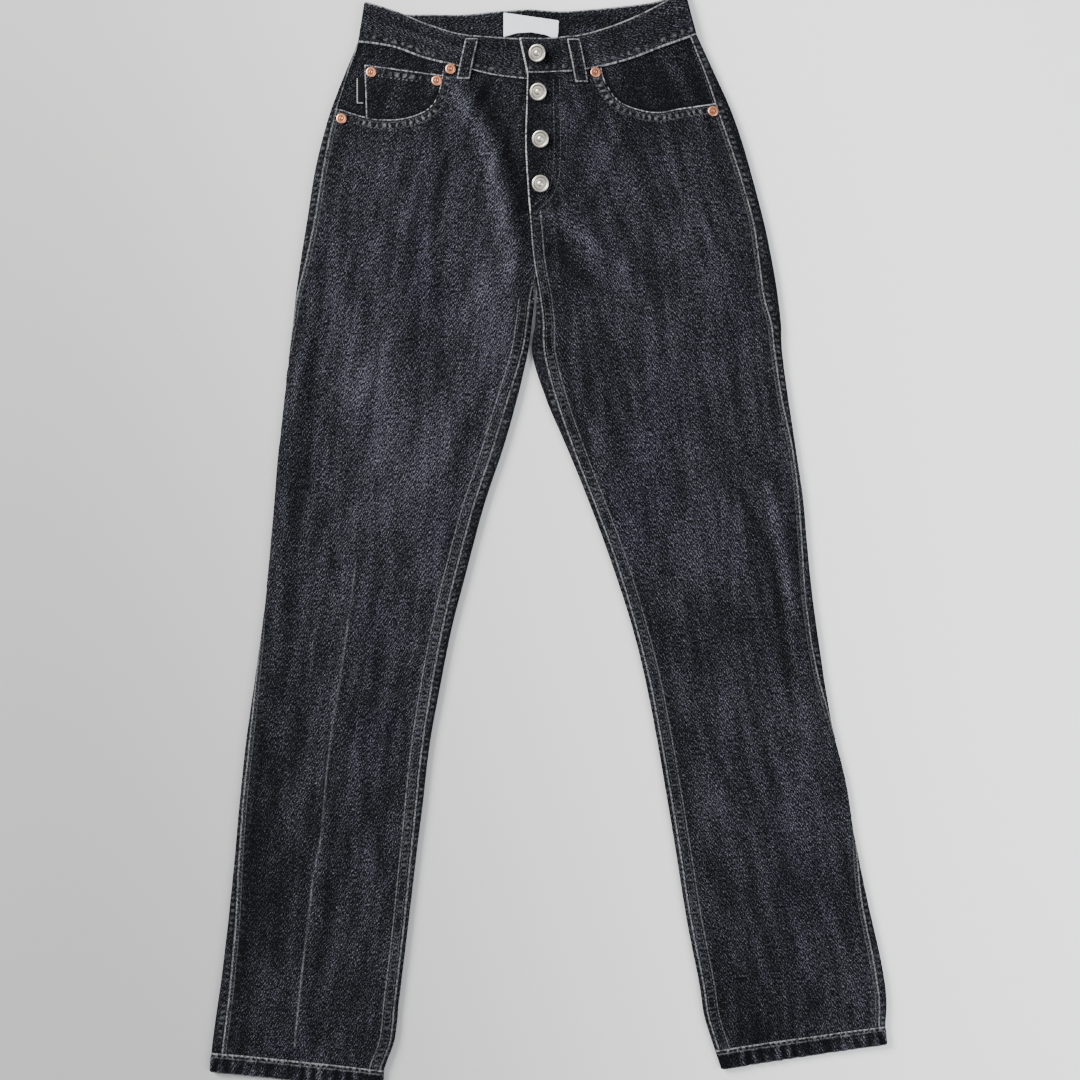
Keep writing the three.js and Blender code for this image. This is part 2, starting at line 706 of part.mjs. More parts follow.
function topNear(pieces, x, y, radius) {
  let highest = topAt(pieces, x, y);
  for (let k = 0; k < 8; k += 1) {
    const angle = (k * Math.PI) / 4;
    const height = topAt(pieces, x + radius * Math.cos(angle), y + radius * Math.sin(angle));
    highest = Math.max(highest, height);
  }
  return highest;
}

function lathe(profile, segments) {
  const points = profile.map(([radius, height]) => new THREE.Vector2(radius, height));
  const geometry = new THREE.LatheGeometry(points, segments);
  geometry.rotateX(Math.PI / 2);
  return geometry;
}

// A shank button: a rimmed cap over the buttonhole and a post down to the layer below
function button(post) {
  const r = BUTTON_RADIUS;
  const d = BUTTON_DEPTH;
  return lathe([
    [0, -post], [SHANK_RADIUS, -post], [SHANK_RADIUS, 0], [r - 0.8, 0], [r, 0.9], [r - 0.3, d - 0.7],
    [r - 1.3, d], [r - 2.4, d - 0.8], [2.6, d - 0.7], [1.6, d - 0.1], [0, d],
  ], RING_STEPS);
}

function rivet() {
  const r = RIVET_RADIUS;
  const d = RIVET_DEPTH;
  return lathe([
    [0, 0], [r - 0.3, 0], [r, 0.4], [r - 0.8, d - 0.4], [2, d - 0.3], [1.4, d + 0.5], [0, d + 0.6],
  ], RIVET_STEPS);
}

// A front belt loop: a strap from the waistband's top edge to just below its seam, a little arched
function frontLoop(row, below) {
  const half = LOOP.width / 2;
  const lower = [];
  for (let k = 0; k <= LOOP_STEPS; k += 1) {
    const f = k / LOOP_STEPS;
    const x = THREE.MathUtils.lerp(row.topX, row.footX, f);
    const y = THREE.MathUtils.lerp(row.topY, row.footY, f);
    const heights = [-half, 0, half].map((across) => topAt(below, x + across, y));
    const z = Math.max(...heights) + GAP + LOOP.arch * Math.sin(Math.PI * f);
    lower.push([-half, 0, half].map((across) => new THREE.Vector3(x + across, y, z)));
  }
  const upper = lower.map((points) => points.map((p) => p.clone().setZ(p.z + LOOP.wall)));
  return wall(upper, lower);
}

function backLoop(x) {
  const half = LOOP.width / 2;
  const { foot, top } = BACK_LOOP_REACH;
  return prism([[x - half, foot], [x + half, foot], [x + half, top], [x - half, top]], 0, POCKET_WALL);
}

// Materials
const denim = (color) => new THREE.MeshStandardMaterial({ color, roughness: 0.95, metalness: 0 });
const metal = (color) => new THREE.MeshStandardMaterial({ color, roughness: 0.35, metalness: 1 });

// The garment, built from the layers below upwards
const pattern = new THREE.Group();

function piece(name, geometry, material) {
  const mesh = new THREE.Mesh(geometry, material);
  mesh.name = name;
  pattern.add(mesh);
  return mesh;
}

const cloth = [];
for (const side of Object.values(SIDES)) {
  cloth.push(piece(`back_panel_${side.name}`, backPanel(side), denim(0x3c3e44)));
  cloth.push(piece(`yoke_${side.name}`, yoke(side), denim(0x3a3c42)));
  cloth.push(piece(`pocket_facing_${side.name}`, pocketFacing(side), denim(0x2c2d32)));
  piece(`back_pocket_${side.name}`, backPocket(side), denim(0x42444a));
  piece(`hem_${side.name}`, hem(side), denim(0x4a4c53));
}
cloth.push(piece('coin_pocket', coinPocket(), denim(0x34363b)));
cloth.push(piece('fly_placket', flyPlacket(), denim(0x2c2d32)));
for (const side of Object.values(SIDES)) {
  cloth.push(piece(`front_panel_${side.name}`, frontPanel(side), denim(0x404248)));
}
const flapWay = roundLength(SIDES.left, 'front', -0.5) - FLAP_MIDDLE;
const flapSpot = clothPoint(SIDES.left, -0.5, flapWay, 0, BAND);
const waist = piece('waistband', waistband(flapSpot.z), denim(0x3e4046));
piece('neck_label', neckLabel(), denim(0xe4e5e8));
piece('side_tab', sideTab(), denim(0x17171a));

for (const row of FRONT_LOOPS) {
  piece(`belt_loop_front_${row.name}`, frontLoop(row, [...cloth, waist]), denim(0x46484f));
}
BACK_LOOPS.forEach((x, k) => {
  piece(`belt_loop_back_${k + 1}`, backLoop(x), denim(0x46484f));
});

for (const row of BUTTONS) {
  const below = [...cloth, waist].filter((mesh) => mesh.name !== 'front_panel_left');
  const under = topNear(below, row.x, row.y, SHANK_RADIUS);
  const seat = topNear([...cloth, waist], row.x, row.y, BUTTON_RADIUS) + GAP;
  const mesh = piece(`button_${row.name}`, button(seat - under - GAP), metal(0x9a978f));
  mesh.position.set(row.x, row.y, seat);
}
for (const row of RIVETS) {
  const mesh = piece(`rivet_${row.name}`, rivet(), metal(0xc07a58));
  mesh.position.set(row.x, row.y, topNear(cloth, row.x, row.y, RIVET_RADIUS) + GAP);
}

// The origin goes under the middle of the whole garment
const jeans = new THREE.Group();
jeans.add(pattern);
jeans.updateMatrixWorld(true);
const bounds = new THREE.Box3().setFromObject(jeans, true);
const middle = bounds.getCenter(new THREE.Vector3());
pattern.position.set(-middle.x, -middle.y, -bounds.min.z);

export default jeans;
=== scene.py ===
# %% [markdown]
# # Straight leg jeans, laid flat
# The garment lies on its back on a pale surface and is seen square from above. The frame holds the
# plain solids. Each is replaced here by cloth with the same run and a finer surface.
# %% Load the frame
import math

import bpy
import numpy as np
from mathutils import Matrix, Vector
from mathutils.bvhtree import BVHTree


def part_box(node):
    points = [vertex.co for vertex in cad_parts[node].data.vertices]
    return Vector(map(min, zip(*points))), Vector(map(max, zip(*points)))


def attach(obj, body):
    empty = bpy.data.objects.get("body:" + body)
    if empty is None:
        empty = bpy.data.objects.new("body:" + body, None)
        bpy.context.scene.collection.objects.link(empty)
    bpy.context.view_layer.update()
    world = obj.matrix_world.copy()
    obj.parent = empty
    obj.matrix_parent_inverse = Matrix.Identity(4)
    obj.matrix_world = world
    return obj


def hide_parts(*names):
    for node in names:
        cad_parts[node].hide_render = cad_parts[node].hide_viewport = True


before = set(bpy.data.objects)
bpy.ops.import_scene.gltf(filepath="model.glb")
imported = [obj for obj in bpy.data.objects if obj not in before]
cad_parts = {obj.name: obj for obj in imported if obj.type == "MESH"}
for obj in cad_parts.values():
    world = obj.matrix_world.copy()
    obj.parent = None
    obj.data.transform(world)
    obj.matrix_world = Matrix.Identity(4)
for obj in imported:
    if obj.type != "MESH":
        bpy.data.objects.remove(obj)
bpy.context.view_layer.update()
MM = 0.001
print("nodes in the frame:", len(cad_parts))

# %% [markdown]
# ## Where the pattern lies
# The pattern below is drawn in millimetres round the crotch. The waist button's place in the
# frame says how far the pattern was moved, so nothing is fitted by eye.
# %% Pattern's origin
WAIST_BUTTON = np.array([6.0, 247.0])
low, high = (np.array(corner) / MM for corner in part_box("button_waist"))
ORIGIN = np.append((low + high)[:2] / 2 - WAIST_BUTTON, 0.0)
print("pattern moved by", ORIGIN.round(2), "mm")


def metres(points):
    return (np.asarray(points, float) + ORIGIN) * MM


# %% [markdown]
# ## Camera
# The photograph looks straight down, so the camera does too. A lens of 50 mm over a sensor of 36 mm
# sees 0.72 metres of floor for each metre of height. So the height follows from the view's width,
# and the camera needs no turning, because a new camera already looks down.
# %% Camera
VIEW_CENTRE = (-0.008, 0.001)  # metres
VIEW_WIDTH = 1.026  # metres of floor from side to side
LENS, SENSOR = 50.0, 36.0

lens = bpy.data.cameras.new("overhead")
lens.lens = LENS
lens.sensor_width = SENSOR
camera = bpy.data.objects.new("overhead", lens)
camera.location = (*VIEW_CENTRE, VIEW_WIDTH * LENS / SENSOR)
bpy.context.scene.collection.objects.link(camera)
bpy.context.scene.camera = camera
print("camera height", round(camera.location.z, 3), "m")

# %% [markdown]
# ## Light
# Soft daylight comes from a window at the upper left. A sun lamp would give hard shadows, so the
# window is a broad area lamp, whose shadows are soft beside the cloth and the buttons. A weaker
# lamp across from it and an even room fill them.
# %% Light
# Each lamp's place and aim in metres, its size in metres, its power in watts and its colour
LAMPS = {
    "window": ((-2.6, 1.9, 2.1), (0, 0, 0), 1.5, 385.0, (1.0, 0.985, 0.96)),
    "fill": ((1.6, -0.6, 1.7), (0.3, 0, 0), 1.6, 60.0, (0.97, 0.985, 1.0)),
}
ROOM_COLOUR, ROOM_STRENGTH = (0.93, 0.96, 1.0, 1), 0.58


def area_light(name, place, aim, size, power, colour):
    data = bpy.data.lights.new(name, "AREA")
    data.size = size
    data.energy = power
    data.color = colour
    lamp = bpy.data.objects.new(name, data)
    lamp.location = place
    lamp.rotation_euler = (Vector(aim) - Vector(place)).to_track_quat("-Z", "Y").to_euler()
    bpy.context.scene.collection.objects.link(lamp)


for name, lamp in LAMPS.items():
    area_light(name, *lamp)
world = bpy.data.worlds.new("room")
world.use_nodes = True
background = world.node_tree.nodes["Background"].inputs
background["Color"].default_value = ROOM_COLOUR
background["Strength"].default_value = ROOM_STRENGTH
bpy.context.scene.world = world
print("lamps", len(LAMPS))

# %% [markdown]
# ## The pattern's tables
# A pair of jeans is two tubes of cloth that join at the crotch. It could be draped by simulation, but
# then its outline would fall where it likes. So each half is a run of sections from the waist seam
# to the hem. A row gives a section's outer end x and y, its inner end x and y, and how far in from
# them the side seam and the inside leg seam show on top.
# %% Sections
RIGHT_SECTIONS = np.array([
    [-164, 260, -4, 225, 1, -8], [-178, 226, -5, 198, 4, -8], [-192, 188, -5, 164, 6, -8],
    [-204, 141, -4, 126, 8, -8], [-212, 93, -1, 88, 8, -8], [-218, 55, 1, 54, 6, -6],
    [-223, 19, 3, 19, 2, 4], [-226, -8, 1, -5, 1, 5], [-229, -34, -3, -34, 0, 6],
    [-234, -78, -13, -77, -1, 9], [-239, -125, -27, -126, -1, 10], [-243, -174, -44, -177, -1, 10],
    [-248, -230, -60, -236, -1, 10], [-254, -287, -75, -295, 0, 9], [-262, -344, -87, -354, 2, 8],
    [-270, -401, -97, -413, 4, 7], [-276, -458, -104, -472, 4, 6], [-281, -515, -111, -531, 5, 5],
    [-287, -572, -118, -590, 8, 4], [-294, -629, -125, -648, 10, 4], [-299, -664, -129, -684, 11, 4],
    [-303, -696, -139, -713, 11, 4], [-304, -714, -140, -732, 11, 4],
], float)
LEFT_SECTIONS = np.array([
    [157, 267, -3, 230, 9, 0], [175, 228, -4, 200, 10, 0], [192, 189, -5, 164, 13, 0],
    [206, 145, -3, 126, 12, 0], [220, 93, 0, 88, 11, 0], [228, 55, 3, 54, 13, 0],
    [234, 19, 5, 19, 14, 4], [237, -7, 4, -5, 10, 8], [238, -32, 1, -34, 8, 12],
    [244, -78, 14, -77, 7, 10], [251, -125, 35, -126, 4, 6], [258, -173, 56, -178, 5, 5],
    [262, -218, 74, -226, 6, 5], [268, -274, 93, -284, 8, 4], [276, -330, 108, -342, 7, 4],
    [285, -384, 119, -399, 1, 4], [298, -439, 129, -456, -2, 4], [307, -494, 138, -512, 0, 4],
    [318, -549, 147, -569, 6, 4], [332, -610, 159, -630, 8, 4], [337, -645, 164, -662, 8, 4],
    [336, -671, 174, -694, 7, 4], [337, -688, 180, -712, 7, 4],
], float)
CROTCH, HEM_SEAM, HEM_EDGE = 6, 21, 22

# The waistband's edges on each half, from the side to the middle
LINES = {
    "right": {
        "front": ([(-164, 260), (-132, 256), (-100, 245), (-68, 237), (-36, 229), (-4, 225)],
                  [(-158, 297), (-128, 288), (-98, 276), (-68, 267), (-38, 264), (-8, 262)]),
        "back": ([(-164, 260), (-131, 252), (-98, 249), (-65, 248), (-32, 250), (-0.2, 252)],
                 [(-158, 297), (-126, 287), (-95, 286), (-63, 286), (-32, 289), (-0.2, 291)]),
    },
    "left": {
        "front": ([(157, 267), (125, 256), (93, 244), (61, 236), (29, 231), (-3, 230)],
                  [(146, 308), (115, 291), (84, 277), (52, 267), (21, 262), (-10, 262)]),
        "back": ([(157, 267), (126, 259), (94, 255), (63, 253), (31, 251), (0.2, 252)],
                 [(146, 308), (117, 298), (88, 294), (58, 291), (29, 289), (0.2, 291)]),
    },
}
SIDES = {
    "right": {"name": "right", "sections": RIGHT_SECTIONS, "lines": LINES["right"], "turn": 1, "lap": 0},
    "left": {"name": "left", "sections": LEFT_SECTIONS, "lines": LINES["left"], "turn": -1, "lap": 1},
}
print("sections on each half:", len(RIGHT_SECTIONS), len(LEFT_SECTIONS))

# %% [markdown]
# ## Walls, gaps and heights
# The cloth lies on the surface with a soft roll at each folded edge, so it is a little higher
# there than in between. The waistband and the buttoned fly lie on top of what is below them.
# Folds are soft ridges and troughs along paths: each adds a bell curve of the distance to its path.
# %% Walls and heights
DENIM, BAND_WALL, HEM_WALL, POCKET_WALL, TAPE_WALL = 1.4, 2.8, 2.2, 1.2, 0.7
GAP, SEAM_GAP = 0.3, 0.4
UNDER = DENIM + GAP
BAND_RISE, BAND_LAP, FLY_LAP, FLY_LAP_TOP = 0.7, 3.3, 2.0, 1.2
SEAT_LIFT = POCKET_WALL + GAP
ROLL_REACH = 22.0
FLAP_REACH, FLAP_FOOT_REACH = 30, 13  # how far the flap laps past the middle, and at its foot
# Rows of y, then the cloth's height at a folded edge, in between, and at the least
HEIGHTS = np.array([
    [-700, 6.6, 4.8, 3.7], [-100, 6.8, 5.0, 3.7], [0, 7.2, 6.2, 5.4],
    [100, 7.8, 6.9, 6.4], [225, 8.4, 7.3, 6.7], [300, 8.8, 7.8, 7.4],
])
# The largest folds: rise, width, then the path
FOLDS = [
    (5.0, 11, [(-63, 206), (-34, 160), (-19, 112), (-13, 70)]),
    (-1.4, 8, [(-38, 205), (-17, 160)]),
    (5.5, 12, [(20, 92), (51, 72), (86, 46)]),
    (-1.6, 12, [(26, 50), (58, 26), (92, 12)]),
    (3.6, 11, [(84, 184), (63, 136), (52, 108)]),
    (3.4, 17, [(-40, 24), (-50, -42), (-74, -128)]),
    (-1.3, 15, [(-86, 14), (-96, -62), (-106, -126)]),
    (3.0, 10, [(-215, -20), (-226, -110), (-238, -200), (-242, -270)]),
    (2.2, 9, [(-151, -150), (-170, -268), (-186, -382), (-202, -552), (-217, -690)]),
    (5.0, 12, [(224, -140), (240, -210), (249, -270), (257, -334)]),
    (-1.3, 9, [(194, -152), (214, -186), (229, -232), (237, -286), (240, -330)]),
    (3.6, 13, [(254, -380), (262, -458), (275, -550)]),
    (2.4, 14, [(40, -20), (62, -100), (96, -190)]),
]
# Small creases that only the cloth shows: rise, width, then the path
CREASES = [
    (0.9, 6, [(14, 88), (34, 76), (60, 70)]),
    (-0.9, 5, [(65, 214), (58, 196), (52, 176)]),
    (0.8, 5, [(72, 210), (66, 192), (58, 170)]),
    (0.7, 7, [(-20, 60), (-60, 52), (-110, 30)]),
    (0.8, 8, [(-12, 40), (-50, 8), (-90, -40)]),
    (0.8, 8, [(14, 20), (46, -20), (70, -70)]),
    (0.7, 6, [(-224, -60), (-190, -75), (-150, -70)]),
    (-0.6, 7, [(-60, 190), (-75, 150), (-80, 110)]),
    (0.7, 9, [(-180, -330), (-140, -345), (-100, -335)]),
    (0.6, 8, [(150, -300), (190, -318), (235, -300)]),
    (0.7, 8, [(140, -230), (180, -240), (215, -225)]),
    (-0.6, 8, [(-200, -420), (-150, -432), (-110, -425)]),
]
print("folds", len(FOLDS), "creases", len(CREASES))

# %% [markdown]
# ## Curves and noise
# A smooth curve runs through the rows of a table, because a pattern is drawn with few points. The
# noise is a lattice of seeded random numbers with a smooth step between them, so the cloth is
# uneven in the same way each time. Distances to paths and outlines say where seams lie.
# %% Curves and noise
LATTICE = 64


def smooth(start, end, value):
    """A step from 0 at start to 1 at end with no corner."""
    f = np.clip((value - start) / (end - start), 0, 1)
    return f * f * (3 - 2 * f)


def rows_at(rows, place):
    """A Catmull-Rom curve through the rows at each place."""
    rows = np.asarray(rows, float)
    k = np.clip(np.floor(place).astype(int), 0, len(rows) - 2)
    f = (place - k)[..., None]
    a, b = rows[np.maximum(k - 1, 0)], rows[k]
    c, d = rows[k + 1], rows[np.minimum(k + 2, len(rows) - 1)]
    bend = 2 * a - 5 * b + 4 * c - d
    twist = 3 * b - a - 3 * c + d
    return b + 0.5 * f * (c - a + f * (bend + f * twist))


def noise(x, y, seed):
    """Smooth noise from -1 to 1 with about one hill for each unit of x and y."""
    lattice = np.random.default_rng(seed).uniform(-1, 1, (LATTICE, LATTICE))
    x, y = np.broadcast_arrays(np.asarray(x, float), np.asarray(y, float))
    i, j = np.floor(x).astype(int), np.floor(y).astype(int)
    f, g = smooth(0, 1, x - i), smooth(0, 1, y - j)

    def at(a, b):
        return lattice[a % LATTICE, b % LATTICE]

    near = at(i, j) * (1 - f) + at(i + 1, j) * f
    far = at(i, j + 1) * (1 - f) + at(i + 1, j + 1) * f
    return near * (1 - g) + far * g


def to_path(x, y, path):
    """Distance from each point to a path, and how far along the path the nearest point lies."""
    path = np.asarray(path, float)
    best = np.full(np.shape(x), np.inf)
    along = np.zeros(np.shape(x))
    run = 0.0
    for (x0, y0), (x1, y1) in zip(path[:-1], path[1:]):
        dx, dy = x1 - x0, y1 - y0
        length = math.hypot(dx, dy)
        f = np.clip(((x - x0) * dx + (y - y0) * dy) / length**2, 0, 1)
        distance = np.hypot(x - x0 - f * dx, y - y0 - f * dy)
        along = np.where(distance < best, run + f * length, along)
        best = np.minimum(best, distance)
        run += length
    return best, along


def inside(x, y, outline):
    """Whether each point lies inside a closed outline."""
    hit = np.zeros(np.shape(x), bool)
    for (x0, y0), (x1, y1) in zip(outline, outline[1:] + outline[:1]):
        if y0 != y1:
            across = x0 + (y - y0) * (x1 - x0) / (y1 - y0)
            hit ^= ((y0 > y) != (y1 > y)) & (x < across)
    return hit


def signed(x, y, outline):
    """Distance to a closed outline, above zero inside it."""
    outline = [tuple(map(float, p)) for p in outline]
    distance, _ = to_path(x, y, outline + outline[:1])
    return np.where(inside(x, y, outline), distance, -distance)


def fine(path, count):
    """A path with more points on the same smooth curve."""
    return rows_at(path, np.linspace(0, len(path) - 1, count))


def bell(value):
    return np.exp(-(value**2))


def bumps(x, y, folds):
    """The height that a table of folds adds at each point."""
    return sum(rise * bell(to_path(x, y, path)[0] / width) for rise, width, path in folds)


print("the noise repeats after", LATTICE, "hills")

# %% [markdown]
# ## Round a section
# Each point of the cloth has a section number, s, and a way round it, t, in millimetres. The way
# is zero at the outer folded edge, grows over the top and falls below zero along the back. At and
# below the crotch the inner edge is folded too. The way counts real cloth, also round the folded
# edges, so threads and stitches keep their spacing there.
# %% Round a section
def heights_at(y):
    """The cloth's height at a folded edge, in between, and at the least."""
    return [np.interp(y, HEIGHTS[:, 0], HEIGHTS[:, k]) for k in (1, 2, 3)]


def plan_of(side, layer, s, u):
    """Where a section's fraction u lies in plan, on the front or the back cloth."""
    seam, top = (rows_at(line, u * (len(line) - 1)) for line in side["lines"][layer])
    band = seam + (top - seam) * -s[..., None]
    section = rows_at(side["sections"], np.maximum(s, 0))
    place = section[..., 0:2] + (section[..., 2:4] - section[..., 0:2]) * u[..., None]
    first = side["sections"][0]
    chord = first[0:2] + (first[2:4] - first[0:2]) * u[..., None]
    reach = 2 if layer == "front" else 5
    bend = np.clip(1 - s / reach, 0, 1) ** 2
    return np.where((s < 0)[..., None], band, place + (seam - chord) * bend[..., None])


def width_of(side, layer, s):
    ends = plan_of(side, layer, s, np.zeros_like(s)) - plan_of(side, layer, s, np.ones_like(s))
    return np.linalg.norm(ends, axis=-1)


def rounding_at(side, s):
    """The radius of the roll at the outer and the inner edge."""
    edge = heights_at(plan_of(side, "front", s, np.zeros_like(s))[..., 1])[0]
    return edge / 2, np.where(s >= CROTCH, edge / 2, 0)


def round_to(radius, distance):
    """The way over a roll that covers a distance in plan."""
    quarter = radius * math.pi / 2
    bent = radius * np.arccos(np.clip(1 - distance / radius, -1, 1))
    return np.where(distance >= radius, quarter + distance - radius, bent)


def round_length(side, layer, s):
    outer, inner = rounding_at(side, s)
    return width_of(side, layer, s) + (outer + inner) * (math.pi / 2 - 1)


def place_at(side, s, t):
    """The layer, how far in from the outer edge in plan, and how far round the roll."""
    outer, inner = rounding_at(side, s)
    front = round_length(side, "front", s)
    t = np.where((inner > 0) & (t < -front), t + 2 * front, t)
    t = np.where((inner > 0) & (t > front), t - 2 * front, t)
    back = t < 0
    width = np.where(back, width_of(side, "back", s), width_of(side, "front", s))
    length = np.where(back, round_length(side, "back", s), front)
    far = np.abs(t)
    near = far < outer * math.pi / 2
    last = (inner > 0) & (far > length - inner * math.pi / 2) & ~near
    inset = outer + far - outer * math.pi / 2
    inset = np.where(near, outer * (1 - np.cos(far / outer)), inset)
    angle = (length - far) / np.maximum(inner, 1e-6)
    inset = np.where(last, width - inner * (1 - np.cos(angle)), inset)
    full = np.where(near, np.sin(far / outer), np.where(last, np.sin(angle), 1.0))
    return back, width, inset, full


top_lengths = round_length(SIDES["right"], "front", np.array([[3.0], [12.0]]))
print("width of the right front at the hip and the knee:", top_lengths.ravel().round(1), "mm")

# %% [markdown]
# ## The cloth's surface
# All sheets take their points from this one surface, so their seams meet however they are cut.
# Each panel could be modelled apart and fitted to the next, but any change would open the seams.
# A sheet lies so far in from the surface, along the normal, and its relief moves it out.
# %% Surface of the cloth
def fly_lift(x, y):
    """How much higher the flap lies than the front beside it."""
    reach = FLAP_FOOT_REACH + (FLAP_REACH - FLAP_FOOT_REACH) * smooth(92, 122, y)
    lap = FLY_LAP * smooth(2, 20, y) + FLY_LAP_TOP * smooth(194, 218, y)
    return lap * (1 - smooth(0, 8, x - reach))


def surface_at(side, s, place, band):
    """The cloth's outer surface, with its rolls, folds and laps."""
    back, width, inset, full = place
    u = np.minimum(inset / width, 1)
    spot = np.where(back[..., None], plan_of(side, "back", s, u), plan_of(side, "front", s, u))
    x = spot[..., 0] + np.maximum(inset - width, 0) * side["turn"]
    y = spot[..., 1]
    edge, middle, least = heights_at(y)
    lift = SEAT_LIFT * smooth(2, 12, inset) * smooth(-40, 0, y)
    roll = bell(inset / ROLL_REACH)
    roll = roll + (1 - smooth(0, 30, y)) * bell((width - inset) / ROLL_REACH)
    top = middle + (edge - middle) * np.minimum(roll, 1)
    if not band:
        top = top + bumps(x, y, FOLDS) * smooth(0, 14, inset)
    top = np.maximum(top, least)
    if side["lap"]:
        top = top + (BAND_LAP * (1 - smooth(31, 46, x)) if band else fly_lift(x, y))
    if band:
        top = top + BAND_RISE
    z = edge / 2 + (np.where(back, lift, top) - edge / 2) * full
    return np.stack([x, y, z], -1)


def unit(vectors):
    return vectors / np.maximum(np.linalg.norm(vectors, axis=-1, keepdims=True), 1e-9)


def cloth(side, s, t, inset, band=False, relief=0.0):
    """Points of the cloth, moved in from its outer surface by inset and out by the relief."""
    s, t = np.broadcast_arrays(np.asarray(s, float), np.asarray(t, float))
    place = place_at(side, s, t)
    point = surface_at(side, s, place, band)
    down = surface_at(side, s + 0.02, place, band) - surface_at(side, s - 0.02, place, band)
    ahead = surface_at(side, s, place_at(side, s, t + 0.2), band)
    across = ahead - surface_at(side, s, place_at(side, s, t - 0.2), band)
    normal = unit(np.cross(down, across)) * side["turn"]
    out = np.broadcast_to(relief - inset, t.shape)
    return point + normal * out[..., None]


def seams_at(side, s):
    """The way round to the side seam and the inside leg seam, and how far that wraps under."""
    section = rows_at(side["sections"], np.maximum(s, 0))
    outer, inner = rounding_at(side, s)
    length = round_length(side, "front", s)
    outseam = np.sign(section[..., 4]) * round_to(outer, np.abs(section[..., 4]))
    wrap = round_to(np.maximum(inner, 1e-6), np.maximum(section[..., 5], 0))
    inseam = np.where(s < CROTCH, length - section[..., 5], length - wrap)
    return outseam, inseam, np.where(s > CROTCH, wrap, 0)


waist_start = cloth(SIDES["right"], np.zeros((1, 1)), 0.0, 0).ravel()
print("the right half starts at", waist_start.round(1), "mm")

# %% [markdown]
# ## Cutting a sheet
# A pocket mouth is cut out of the front along a curve. A boolean modifier could cut it, but leaves
# slivers and loses the values on the points. Here the grid's squares that the outline crosses are
# cut along it instead, and each new point takes its values from the two that it lies between.
# %% Cutting
SNAP = 0.2  # a point this near outside an outline stays, so no sliver is left
NEAREST_CUT = 0.02  # share of an edge that a cut keeps at least


def cut(data, faces, keep):
    """Keeps the part of the faces where keep is above zero, and cuts those that it crosses."""
    stays = keep > -SNAP
    counts = stays[faces].sum(1)
    result = [list(face) for face in faces[counts == 4]]
    data, made = list(data), {}

    def crossing(a, b):
        key = (min(a, b), max(a, b))
        if key not in made:
            f = np.clip(keep[a] / (keep[a] - keep[b]), NEAREST_CUT, 1 - NEAREST_CUT)
            data.append(data[a] + (data[b] - data[a]) * f)
            made[key] = len(data) - 1
        return made[key]

    for face in faces[(counts > 0) & (counts < 4)]:
        polygon = []
        for a, b in zip(face, np.roll(face, -1)):
            if stays[a]:
                polygon.append(int(a))
            if stays[a] != stays[b]:
                polygon.append(crossing(int(a), int(b)))
        if len(polygon) > 2:
            result.append(polygon)
    return np.array(data), result


def recut(data, faces, keep_of):
    """Cuts faces of any number of corners by a rule for the points."""
    four = np.array([face for face in faces if len(face) == 4])
    rest = [face for face in faces if len(face) != 4]
    keep = keep_of(data)
    data, kept = cut(data, four, keep)
    return data, kept + [face for face in rest if all(keep_of(data[face]) > -SNAP)]


print("cuts snap within", SNAP, "mm")

# %% [markdown]
# ## From points to an object
# Blender keeps a mesh and an object apart: the mesh holds the points, and the object places it.
# Values on the points become attributes, which the materials read. Faces are shaded smooth, with
# a crease only where they meet at a large angle.
# %% Building an object
def build(name, points, faces, values, smooth_angle):
    """An object from points in the pattern's millimetres, its faces and the values on its points."""
    mesh = bpy.data.meshes.new(name)
    mesh.from_pydata(metres(points).tolist(), [], faces)
    for key, value in values.items():
        kind, field = ("FLOAT_VECTOR", "vector") if value.ndim == 2 else ("FLOAT", "value")
        layer = mesh.attributes.new(key, kind, "POINT")
        layer.data.foreach_set(field, value.astype(np.float32).ravel())
    mesh.polygons.foreach_set("use_smooth", [True] * len(mesh.polygons))
    mesh.set_sharp_from_angle(angle=math.radians(smooth_angle))
    mesh.validate()
    obj = bpy.data.objects.new(name, mesh)
    bpy.context.scene.collection.objects.link(obj)
    return obj


# %% [markdown]
# ## A shell with a rounded rim
# Cloth has a wall. A solidify modifier gives one, but its rim is flat and its corners are sharp. So
# each sheet is two layers of points joined by a rim, whose middle is pushed out a little, as
# the edge of folded cloth is.
# %% Shell
RIM_BULGE = 0.4  # share of the wall
CLOTH_ANGLE = 60


def border_of(faces):
    """The edges that only one face has, each in that face's order."""
    edges = {}
    for face in faces:
        for a, b in zip(face, face[1:] + face[:1]):
            if (b, a) in edges:
                del edges[(b, a)]
            else:
                edges[(a, b)] = True
    return edges


